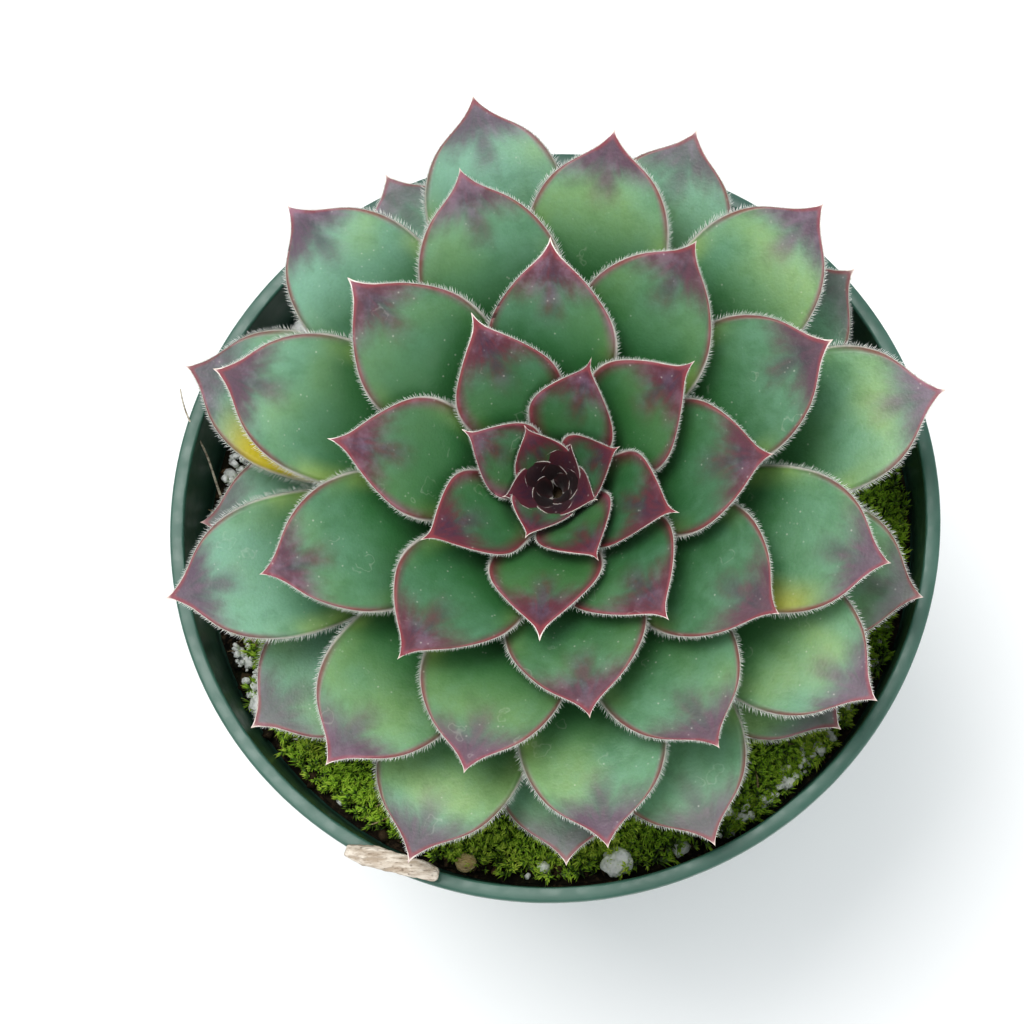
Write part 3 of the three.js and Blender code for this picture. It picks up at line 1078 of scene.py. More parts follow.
@dataclass
class Leaf:
    """One leaf: its skin follows its CAD node, with hairs along both margins."""

    node: bpy.types.Object
    order: int
    plan: RosettePlan
    sunny: tuple[float, float] = (0.0, 0.0)
    rings: int = 11
    corners: int = 8
    shoulders: tuple[tuple[int, float, float], ...] = (
        (4, 1.0, 1.05),
        (5, 1.0, 1.07),
        (6, 1.03, 0.99),
        (7, 1.06, 0.84),
        (8, 1.13, 0.72),
        (9, 0.9, 0.7),
        (10, 0.5, 0.5),
    )
    recurve: tuple[tuple[int, float], ...] = ((7, 0.3), (8, 0.85), (9, 1.5), (10, 2.0), (11, 2.4))
    unfurl: float = 0.16
    opening_age: float = 0.45
    opening_span: float = 0.4
    heart_age: float = 0.8
    heart_closes: float = 0.65
    lump: float = 9 * MM
    lump_depth: float = 0.22 * MM
    hair_gap: float = 0.22 * MM
    hair_length: float = 1.1 * MM
    hair_start: float = 0.22
    hair_stop: float = 1.6 * MM
    hair_shortens: float = 16 * MM
    hair_sunk: float = 0.08 * MM
    hair_shortest: float = 0.42
    hair_ageing: float = 0.35
    hair_spacing: tuple[float, float] = (0.7, 1.3)
    hair_lean: tuple[float, float] = (0.15, 0.8)
    hair_lift: tuple[float, float] = (-0.35, 0.45)
    hair_lengths: tuple[float, float] = (0.7, 1.2)
    first_seed: int = 700
    # azimuth in degrees where the painted bluish sheen is strongest, on the key lamp's side
    sheen_azimuth: float = 130.0

    @property
    def age(self) -> float:
        """0 for the oldest leaf and 1 for the youngest."""
        return self.order / (self.plan.leaves - 1)

    def _cage(self) -> np.ndarray:
        """Reads the node's rings of corners, from the foot of the blade to its tip.

        Returns:
            Rings by corners by 3: the two margins are corners 0 and 4, corners 1 to 3 are on
            the upper face and corners 5 to 7 on the underside.  The tip is the last row.
        """
        copy = placed("cage", self.node.data.copy())
        with editing(copy):
            bpy.ops.mesh.remove_doubles(threshold=WELD)
        mesh = copy.data
        points = corners_of(mesh)
        foot = np.array(self.plan.foot)
        tip = int(np.argmax(np.linalg.norm(points - foot, axis=1)))
        near: list[set[int]] = [set() for _ in points]
        for edge in mesh.edges:
            first, second = edge.vertices
            near[first].add(second)
            near[second].add(first)
        level = {tip: 0}
        front = [tip]
        while front:
            ahead = []
            for corner in front:
                for other in near[corner]:
                    if other not in level:
                        level[other] = level[corner] + 1
                        ahead.append(other)
            front = ahead
        beside: list[set[int]] = [set() for _ in points]
        for face in mesh.polygons:
            low = min(level[corner] for corner in face.vertices)
            outer = [corner for corner in face.vertices if level[corner] == low + 1]
            if len(outer) == 2:
                beside[outer[0]].add(outer[1])
                beside[outer[1]].add(outer[0])
        loops = []
        for ring in range(1, self.rings + 1):
            members = [corner for corner, steps in level.items() if steps == ring]
            loop = [members[0]]
            while len(loop) < self.corners:
                loop.append(next(other for other in beside[loop[-1]] if other not in loop))
            loops.append(points[loop])
        bpy.data.objects.remove(copy, do_unlink=True)
        return self._aligned(loops, points[tip])

    def _aligned(self, loops: list[np.ndarray], tip: np.ndarray) -> np.ndarray:
        """Starts each ring at the same margin and turns all of them the same way round.

        Args:
            loops: The rings as they were read, from the tip to the foot.
            tip: The tip.

        Returns:
            The shaped cage, from the foot to the tip.
        """
        wide = loops[5]
        start = int(np.argmax([np.linalg.norm(wide[i] - wide[(i + 4) % 8]) for i in range(4)]))
        wide = np.roll(wide, -start, axis=0)
        middle = wide.mean(axis=0)
        outward = Vector(middle) - self.plan.foot
        outward -= self.plan.axis * outward.dot(self.plan.axis)
        outward.normalize()
        side = self.plan.axis.cross(outward)
        if Vector(wide[0] - wide[4]).dot(side) > 0:  # corner 0 is the clockwise margin
            wide = np.roll(wide, -4, axis=0)
        upper = Vector(wide[1:4].mean(axis=0) - wide[5:8].mean(axis=0))
        if upper.dot(self.plan.axis - outward) < 0:
            wide = np.roll(wide[::-1], 1, axis=0)
        rows: dict[int, np.ndarray] = {5: wide}
        for index in (*range(6, self.rings), *range(4, -1, -1)):
            guide = rows[index - 1 if index > 5 else index + 1]
            guide = guide - guide.mean(axis=0)
            guide = guide / np.linalg.norm(guide, axis=1).max()
            ring = loops[index]
            choices = [
                np.roll(way, shift, axis=0) for way in (ring, ring[::-1]) for shift in range(8)
            ]

            def misfit(option: np.ndarray) -> float:
                """How far a way of numbering the ring is from its neighbour.

                Args:
                    option: One way of numbering the ring.

                Returns:
                    The sum of the squared distances.
                """
                centred = option - option.mean(axis=0)
                centred = centred / np.linalg.norm(centred, axis=1).max()
                return float(((centred - guide) ** 2).sum())

            rows[index] = min(choices, key=misfit)
        rings = [rows[index] for index in range(self.rings - 1, -1, -1)]
        cage = np.stack([*rings, np.repeat(tip[None], self.corners, axis=0)])
        return self._shaped(cage, np.array(outward))

    def _shaped(self, cage: np.ndarray, outward: np.ndarray) -> np.ndarray:
        """Broadens the shoulders, draws out the tip, and opens the younger leaves.

        Args:
            cage: The cage as read from the node.
            outward: The direction away from the rosette's axis at this leaf.

        Returns:
            The shaped cage.
        """
        young = min(1.0, max(0.0, (self.age - self.opening_age) / self.opening_span))
        inmost = min(1.0, max(0.0, (self.age - self.heart_age) / (1 - self.heart_age)))
        opened = young * (1 - self.heart_closes * inmost)
        for ring, old_share, young_share in self.shoulders:
            share = old_share + (young_share - old_share) * young
            middle = (cage[ring, 0] + cage[ring, 4]) / 2
            span = cage[ring, 4] - cage[ring, 0]
            span = span / np.linalg.norm(span)
            offsets = (cage[ring] - middle) @ span
            cage[ring] += np.outer(offsets * (share - 1), span)
        for ring, reach in self.recurve:
            cage[ring] += outward * reach * MM * opened
        for ring in range(4, self.rings):
            half = np.linalg.norm(cage[ring, 4] - cage[ring, 0]) / 2
            for corner, share in ((0, 1.0), (4, 1.0), (1, 0.4), (3, 0.4), (5, 0.4), (7, 0.4)):
                cage[ring, corner] += outward * half * self.unfurl * share * opened
        return cage

    def _skin(self, cage: np.ndarray) -> bpy.types.Object:
        """Builds the blade's skin on its cage, with its marks, and rounds it.

        Args:
            cage: The shaped cage.

        Returns:
            The rounded blade.
        """
        rings, corners = self.rings, self.corners
        points = np.concatenate([cage[:-1].reshape(-1, 3), cage[-1][:1]])
        faces = []
        for ring in range(rings - 1):
            for corner in range(corners):
                after = (corner + 1) % corners
                base = ring * corners
                faces.append((base + corner, base + corners + corner, base + corners + after, base + after))
        last = (rings - 1) * corners
        top = len(points) - 1
        faces += [(last + corner, top, last + (corner + 1) % corners) for corner in range(corners)]
        faces.append(tuple(range(corners)))
        mesh = bpy.data.meshes.new(self.node.name + "_blade")
        mesh.from_pydata(points.tolist(), [], faces)
        piece = placed(self.node.name + "_blade", mesh)
        with editing(piece):
            bpy.ops.mesh.normals_make_consistent(inside=False)
        across = np.array([-1.0, -0.55, 0.0, 0.55, 1.0, 0.55, 0.0, -0.55])
        middle = (cage[:, 0] + cage[:, 4]) / 2
        steps = np.linalg.norm(np.diff(middle, axis=0), axis=1)
        to_tip = np.concatenate([np.cumsum(steps[::-1])[::-1], [0.0]]) / MM
        half = np.linalg.norm(cage[:, 4] - cage[:, 0], axis=1) / 2 / MM
        blade = np.zeros((rings * corners + 1, 3))
        sun = np.zeros_like(blade)
        for ring in range(rings):
            rows = slice(ring * corners, (ring + 1) * corners)
            blade[rows, 0] = to_tip[ring]
            blade[rows, 1] = half[ring] * (1 - np.abs(across))
            blade[rows, 2] = across
            sun[rows, 2] = [0, 0, 0, 0, 0, 1, 1, 1]
        blade[-1] = (0, 0, 0)
        sun[:, 0], sun[:, 1] = self.sunny
        crease = mesh.attributes.new("crease_edge", "FLOAT", "EDGE")
        for edge in mesh.edges:
            first, second = edge.vertices
            if top in (first, second):
                sharp = first % corners in (0, 4)
            else:
                sharp = {first % corners, second % corners} in ({0}, {4})
            crease.data[edge.index].value = float(sharp)
        tip_crease = mesh.attributes.new("crease_vert", "FLOAT", "POINT")
        tip_crease.data[top].value = 1.0
        mark(mesh, "blade", blade)
        mark(mesh, "sun", sun)
        subdivided(piece, 2)
        roughen(piece, self.lump, self.lump_depth, self.order * 3.1)
        return piece

    def _hairs(self, cage: np.ndarray, stencil: Stencil, random: np.random.Generator) -> bpy.types.Object:
        """Stands short hairs along both margins, leaning towards the tip.

        Args:
            cage: Rows of corners, of which 0 and 4 follow the margins.
            stencil: One hair.
            random: The leaf's own random numbers.

        Returns:
            The hairs, as one piece.
        """
        frames: list[np.ndarray] = []
        for margin in (0, 4):
            rail = cage[:, margin]
            other = cage[:, 4 - margin]
            lengths = np.concatenate([[0], np.cumsum(np.linalg.norm(np.diff(rail, axis=0), axis=1))])
            total = lengths[-1]
            here = total * self.hair_start
            while here < total - self.hair_stop:
                here += self.hair_gap * random.uniform(*self.hair_spacing)
                place = np.array([np.interp(here, lengths, rail[:, i]) for i in range(3)])
                ahead = np.array([np.interp(here + MM, lengths, rail[:, i]) for i in range(3)])
                facing = np.array([np.interp(here, lengths, other[:, i]) for i in range(3)])
                along = Vector(ahead - place).normalized()
                out = Vector(place - facing)
                out = (out - along * out.dot(along)).normalized()
                lift = out.cross(along) * (1 if margin == 4 else -1)
                lean = out + along * random.uniform(*self.hair_lean)
                lean += lift * random.uniform(*self.hair_lift)
                near_tip = min(1.0, (total - here) / self.hair_shortens)
                length = self.hair_length * random.uniform(*self.hair_lengths)
                length *= self.hair_shortest + (1 - self.hair_shortest) * near_tip
                length *= 1.0 - self.hair_ageing * self.age
                root = Vector(place) - out * self.hair_sunk
                frames.append(frame_at(root, lean.normalized(), random.uniform(0, 6), (1, 1, length / MM)))
        shades = random.uniform(0, 1, len(frames))
        return stencil.copied(self.node.name + "_hairs", np.array(frames), shades)

    def build(
        self, skin: bpy.types.Material, hair: bpy.types.Material, stencil: Stencil
    ) -> bpy.types.Object:
        """Builds and dresses the leaf, which replaces its node.

        Args:
            skin: The blade's material.
            hair: The hairs' material.
            stencil: One hair.

        Returns:
            The finished leaf.
        """
        random = np.random.default_rng(self.first_seed + self.order)
        cage = self._cage()
        piece = self._skin(cage)
        piece.data.materials.append(skin)
        hairs = self._hairs(self._rounded(piece, cage), stencil, random)
        hairs.data.materials.append(hair)
        # Painted reflection: leaves turned towards the key lamp's side get a stronger bluish waxy sheen and
        # lilac highlight; older leaves get more, and a random share is added.
        centre = Vector(cage[5].mean(axis=0)) - self.plan.foot
        azimuth = math.degrees(math.atan2(centre.y, centre.x))
        bluish = 0.6 + 0.4 * math.cos(math.radians(azimuth - self.sheen_azimuth))
        bluish = min(1.0, max(0.0, bluish * (1.1 - 0.6 * self.age) + random.uniform(-0.15, 0.15)))
        self._mark_leaf(piece, self.age, random.uniform(0, 1), bluish)
        name = piece.name
        select_only(piece, hairs)
        bpy.ops.object.join()
        piece.name = name
        shade_smooth(piece)
        claim(piece)
        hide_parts(self.node.name)
        return piece

    @staticmethod
    def _mark_leaf(piece: bpy.types.Object, age: float, seed: float, bluish: float) -> None:
        """Writes the leaf's own numbers on all of its corners."""
        count = len(piece.data.vertices)
        mark(piece.data, "leaf", np.tile([age, seed, bluish], (count, 1)))

    def _rounded(self, piece: bpy.types.Object, cage: np.ndarray) -> np.ndarray:
        """Moves the cage's margins onto the rounded skin.

        Args:
            piece: The rounded blade.
            cage: The cage that it was rounded from.

        Returns:
            Rows of 8 corners like the cage, with more rows; only corners 0 and 4 are set.
        """
        mesh = piece.data
        points = corners_of(mesh)
        flat = np.empty(len(points) * 3)
        mesh.attributes["blade"].data.foreach_get("vector", flat)
        blade = flat.reshape(-1, 3)
        rails = []
        for side in (-1, 1):
            chosen = np.flatnonzero(blade[:, 2] * side > 0.999)
            chosen = chosen[np.argsort(-blade[chosen, 0])]
            rails.append(points[chosen])
        count = min(len(rail) for rail in rails)
        rows = np.zeros((count + 1, self.corners, 3))
        rows[:-1, 0] = rails[0][:count]
        rows[:-1, 4] = rails[1][:count]
        rows[-1, :] = cage[-1, 0]
        return rows


@dataclass
class Rosette:
    """All the leaves, the youngest ones nested in the heart, and the stem."""

    nodes: dict[str, bpy.types.Object]
    plan: RosettePlan = field(default_factory=RosettePlan)
    buds: int = 12
    bud_share: float = 0.915
    bud_floor: float = 14 * MM
    bud_ripening: float = 0.05
    hair_sides: int = 3
    hair_radius: float = 0.07 * MM
    hair_height: float = 1.0 * MM
    sunny_leaves: dict[str, tuple[float, float]] = field(
        default_factory=lambda: {"leaf_10": (0.0, 1.0), "leaf_19": (0.5, 0.0)}
    )

    def _hair_stencil(self) -> Stencil:
        """One hair, 1 mm long and pointing up.

        Returns:
            The stencil.
        """
        bpy.ops.mesh.primitive_cone_add(
            vertices=self.hair_sides,
            radius1=self.hair_radius,
            depth=self.hair_height,
            location=(0, 0, self.hair_height / 2),
        )
        hair = started("hair")
        settle(hair)
        return Stencil.taken_from(hair)

    def _bud(self, youngest: bpy.types.Object, step: int) -> bpy.types.Object:
        """Copies the youngest leaf, smaller and further in.

        Args:
            youngest: The youngest leaf.
            step: How many leaves younger the copy is.

        Returns:
            The copy.
        """
        piece = placed(f"bud_{step:02d}", youngest.data.copy())
        piece.data.transform(self.plan.nested(step, self.bud_share**step, self.bud_floor))
        count = len(piece.data.vertices)
        row = np.tile([1.0 + self.bud_ripening * step, 0.37 * step % 1.0, 0.0], (count, 1))
        piece.data.attributes["leaf"].data.foreach_set("vector", row.astype(np.float32).ravel())
        blade = np.empty(count * 3, dtype=np.float32)
        piece.data.attributes["blade"].data.foreach_get("vector", blade)
        blade = blade.reshape(-1, 3)
        blade[:, :2] *= self.bud_share**step
        piece.data.attributes["blade"].data.foreach_set("vector", blade.ravel())
        claim(piece)
        return piece

    def build(self) -> None:
        """Builds every leaf and dresses the stem."""
        skin = BladeFinish().material()
        hair = HairFinish().material()
        stencil = self._hair_stencil()
        youngest = None
        for order in range(self.plan.leaves):
            name = f"leaf_{order + 1:02d}"
            sunny = self.sunny_leaves.get(name, (0.0, 0.0))
            youngest = Leaf(self.nodes[name], order, self.plan, sunny).build(skin, hair, stencil)
        buds = [self._bud(youngest, step) for step in range(1, self.buds + 1)]
        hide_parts("growing_point")
        stem = self.nodes["crown"]
        stem.data.materials.clear()
        stem.data.materials.append(StemFinish().material())


# ------------------------------------------------------------------------ pot


@dataclass
class NurseryPot:
    """A thin-walled moulded pot with a collar and a rolled lip."""

    height: float = 95 * MM
    rim_radius: float = 57.15 * MM
    lip_width: float = 2.2 * MM
    lip_height: float = 1.8 * MM
    collar_height: float = 13 * MM
    collar_top: float = 56.1 * MM
    collar_foot: float = 55.1 * MM
    shoulder: float = 53.6 * MM
    shoulder_drop: float = 2 * MM
    base: float = 41 * MM
    foot_chamfer: float = 1.6 * MM
    wall: float = 1.2 * MM
    floor: float = 1.6 * MM
    sides: int = 192
    drain_holes: int = 8
    drain_radius: float = 4 * MM
    drain_depth: float = 7 * MM
    drain_sides: int = 32
    soft_edge: float = 0.4 * MM
    soft_edge_steps: int = 3
    soft_edge_angle: float = 25.0
    smooth_angle: float = 30.0

    def _profile(self) -> list[tuple[float, float]]:
        """Radius and height of each turn of the wall, from the floor inside to the foot outside.

        Returns:
            Pairs of radius and height.
        """
        under_collar = self.height - self.collar_height
        under_shoulder = under_collar - self.shoulder_drop
        under_lip = self.height - self.lip_height
        inner = self.rim_radius - self.lip_width
        return [
            (self.base - self.wall, self.floor),
            (self.shoulder - self.wall, under_shoulder),
            (self.collar_foot - self.wall, under_collar),
            (inner, self.height - self.lip_height * 0.6),
            (inner, self.height),
            (self.rim_radius, self.height),
            (self.rim_radius, under_lip),
            (self.collar_top, under_lip),
            (self.collar_foot, under_collar),
            (self.shoulder, under_shoulder),
            (self.base, self.foot_chamfer),
            (self.base - self.foot_chamfer, 0.0),
        ]

    def _turned(self) -> bpy.types.Object:
        """Turns the wall by extruding one circle along the profile.

        Returns:
            The pot without its drain holes.
        """
        profile = self._profile()
        radius, height = profile[0]
        bpy.ops.object.select_all(action="DESELECT")
        bpy.ops.mesh.primitive_circle_add(vertices=self.sides, radius=radius, location=(0, 0, height))
        piece = started("pot_wall")
        settle(piece)
        with editing(piece):
            for next_radius, next_height in profile[1:]:
                move = {"value": (0, 0, next_height - height)}
                bpy.ops.mesh.extrude_region_move(TRANSFORM_OT_translate=move)
                share = next_radius / radius
                bpy.ops.transform.resize(value=(share, share, 1), center_override=(0, 0, 0))
                radius, height = next_radius, next_height
            bpy.ops.mesh.select_all(action="SELECT")
            bpy.ops.mesh.fill_holes(sides=0)
            bpy.ops.mesh.select_all(action="SELECT")
            bpy.ops.mesh.normals_make_consistent(inside=False)
        edges = piece.modifiers.new("Soft edges", "BEVEL")
        edges.width = self.soft_edge
        edges.segments = self.soft_edge_steps
        edges.limit_method = "ANGLE"
        edges.angle_limit = math.radians(self.soft_edge_angle)
        apply_all(piece)
        return piece

    def _drain(self, piece: bpy.types.Object) -> None:
        """Cuts the drain holes through the corner where the wall meets the floor.

        Args:
            piece: The pot.
        """
        cutters = []
        for index in range(self.drain_holes):
            angle = (index + 0.5) * 360 / self.drain_holes
            bpy.ops.object.select_all(action="DESELECT")
            bpy.ops.mesh.primitive_cylinder_add(
                vertices=self.drain_sides,
                radius=self.drain_radius,
                depth=2 * self.drain_depth,
                location=polar(angle, self.base),
                rotation=(0, math.radians(90), math.radians(angle)),
            )
            cutters.append(started(f"drain_{index}"))
        select_only(*cutters)
        bpy.ops.object.join()
        cutter = cutters[0]
        settle(cutter)
        cut = piece.modifiers.new("Drain holes", "BOOLEAN")
        cut.operation = "DIFFERENCE"
        cut.solver = "EXACT"
        cut.object = cutter
        apply_all(piece)
        bpy.data.objects.remove(cutter, do_unlink=True)

    def build(self) -> None:
        """Builds and dresses the pot, which replaces its node."""
        piece = self._turned()
        self._drain(piece)
        shade_smooth(piece, self.smooth_angle)
        dress(piece, PotFinish().material())
        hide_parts("pot")


# ---------------------------------------------------------------- potting mix


@dataclass(frozen=True)
class Scatter:
    """How one kind of grain lies on the mix."""

    name: str
    count: int
    smallest: float
    largest: float
    squash: tuple[float, float, float]
    sectors: tuple[tuple[float, float, float], ...]
    seed: int
    inner: float = 33 * MM
    outer: float = 52.6 * MM
    sink: float = 0.15
    smallness: float = 2.2
    tilt: float = 0.35
    above: float = 200 * MM

    def frames(self, ground: BVHTree) -> tuple[np.ndarray, np.ndarray]:
        """Finds a place for each grain.

        Args:
            ground: The surface that the grains lie on.

        Returns:
            A matrix and a shade for each grain.
        """
        random = np.random.default_rng(self.seed)
        weights = np.array([weight * (end - start) for start, end, weight in self.sectors])
        weights = weights / weights.sum()
        frames = []
        for _ in range(self.count):
            start, end, _ = self.sectors[random.choice(len(weights), p=weights)]
            angle = random.uniform(start, end)
            reach = math.sqrt(random.uniform(self.inner**2, self.outer**2))
            spot, _, _, _ = ground.ray_cast(polar(angle, reach, self.above), Vector((0, 0, -1)))
            if spot is None:
                continue
            size = self.smallest + (self.largest - self.smallest) * random.uniform() ** self.smallness
            lean = Vector(random.normal(0, self.tilt, 3)) + Vector((0, 0, 1))
            place = spot + Vector((0, 0, size * (0.5 * self.squash[2] - self.sink)))
            scale = tuple(size * part * random.uniform(0.75, 1.3) for part in self.squash)
            frames.append(frame_at(place, lean.normalized(), random.uniform(0, 6.28), scale))
        return np.array(frames), random.uniform(0, 1, len(frames))


# sectors round the pot: from and to in degrees, and how thickly grains lie there
ALL_ROUND = ((0, 360, 1.0),)
PALE_SIDES = (
    (0, 130, 0.3),
    (130, 186, 4.0),
    (186, 212, 5.0),
    (212, 296, 0.5),
    (296, 330, 2.4),
    (330, 360, 0.6),
)
WALL_SIDES = ((132, 186, 1.2), (186, 212, 1.6), (296, 330, 2.2), (330, 350, 0.6))


@dataclass
class PottingMix:
    """The top of the mix: a lumpy crust with crumbs, bark, perlite and dry fibres on it."""

    nodes: dict[str, bpy.types.Object]
    radius: float = 53.2 * MM
    level: float = 82.0 * MM
    crown_rise: float = 1.2 * MM
    segments: int = 300
    rings: int = 96
    lumps: tuple[tuple[float, float, float], ...] = ((6 * MM, 0.9 * MM, 4.0), (1.7 * MM, 0.7 * MM, 9.0))

    def _crust(self) -> bpy.types.Object:
        """Flattens a ball into the crust and breaks up its surface.

        Returns:
            The crust.
        """
        bpy.ops.object.select_all(action="DESELECT")
        bpy.ops.mesh.primitive_uv_sphere_add(
            segments=self.segments, ring_count=self.rings, radius=self.radius
        )
        piece = started("mix_crust")
        piece.scale = (1, 1, self.crown_rise / self.radius)
        piece.location = (0, 0, self.level)
        settle(piece)
        mesh = piece.data
        up = np.zeros((len(mesh.vertices), 3))
        corners = corners_of(mesh)
        up[:, 2] = np.where(corners[:, 2] >= self.level - 0.01 * MM, 1.0, 0.0)
        for lump, depth, seed in self.lumps:
            corners = roughened(corners, up, lump, depth, seed)
        set_corners(mesh, corners)
        shade_smooth(piece)
        dress(piece, EarthFinish("peat_crust").material())
        return piece

    @staticmethod
    def _grain(name: str, seed: float, depth: float) -> Stencil:
        """One broken grain, 1 m across, from a ball with its corners pushed in and out.

        Args:
            name: Its name while it is modelled.
            seed: Shifts the noise.
            depth: How deep the breaks are.

        Returns:
            The stencil.
        """
        bpy.ops.object.select_all(action="DESELECT")
        bpy.ops.mesh.primitive_ico_sphere_add(subdivisions=2, radius=0.5)
        grain = started(name)
        roughen(grain, 0.45, depth, seed)
        with editing(grain):
            bpy.ops.mesh.decimate(ratio=0.4)
        return Stencil.taken_from(grain)

    @staticmethod
    def _fibre() -> Stencil:
        """One dry fibre, 1 m long and lying along X, slightly bent.

        Returns:
            The stencil.
        """
        bpy.ops.object.select_all(action="DESELECT")
        bpy.ops.mesh.primitive_cone_add(
            vertices=4, radius1=0.03, radius2=0.012, depth=1.0, rotation=(0, math.radians(90), 0)
        )
        fibre = started("fibre")
        settle(fibre)
        with editing(fibre):
            bpy.ops.mesh.subdivide(number_cuts=2)
        corners = corners_of(fibre.data)
        corners[:, 1] += 0.22 * corners[:, 0] ** 2
        set_corners(fibre.data, corners)
        return Stencil.taken_from(fibre)

    def build(self) -> BVHTree:
        """Builds and dresses the crust and what lies on it.

        Returns:
            The crust's surface, for other pieces to lie on.
        """
        crust = self._crust()
        node = self.nodes["potting_mix"]
        node.data.materials.clear()
        node.data.materials.append(crust.data.materials[0])
        mesh = crust.data
        ground = BVHTree.FromPolygons(
            [vertex.co for vertex in mesh.vertices], [tuple(face.vertices) for face in mesh.polygons]
        )
        peat = EarthFinish("peat_crumbs", paint(26, 21, 15), paint(62, 48, 34)).material()
        chips = BarkFinish("bark_crumbs", 0, paint(150, 124, 94), paint(96, 74, 54)).material()
        stone = StoneFinish().material()
        straw = BarkFinish("dry_fibres", 0, paint(190, 174, 140), paint(140, 118, 88)).material()
        clod = self._grain("clod", 1.0, 0.5)
        flake = self._grain("flake", 6.0, 0.6)
        lump = self._grain("lump", 3.0, 0.3)
        fibre = self._fibre()
        peat_bits = Scatter("peat_grains", 3000, 0.5 * MM, 2.2 * MM, (1, 0.8, 0.7), ALL_ROUND, 11)
        bark_bits = Scatter("bark_grains", 300, 1.0 * MM, 3.4 * MM, (1, 0.55, 0.35), ALL_ROUND, 12)
        pale_bits = Scatter("pale_grains", 700, 0.5 * MM, 2.6 * MM, (1, 0.85, 0.8), PALE_SIDES, 13)
        wall_bits = Scatter(
            "wall_grains", 380, 0.5 * MM, 1.5 * MM, (1, 0.85, 0.8), WALL_SIDES, 15,
            inner=49.5 * MM, outer=52.3 * MM, sink=-1.2,
        )
        dry_bits = Scatter("dry_fibre_bits", 170, 1.6 * MM, 5.5 * MM, (1, 1.4, 1.4), PALE_SIDES, 14)
        kinds = (
            (peat_bits, clod, peat, Material.MIX),
            (bark_bits, flake, chips, Material.BARK),
            (pale_bits, lump, stone, Material.PERLITE),
            (wall_bits, lump, stone, Material.PERLITE),
            (dry_bits, fibre, straw, Material.BARK),
        )
        for scatter, stencil, finish, slot in kinds:
            frames, shades = scatter.frames(ground)
            dress(stencil.copied(scatter.name, frames, shades), finish)
        return ground


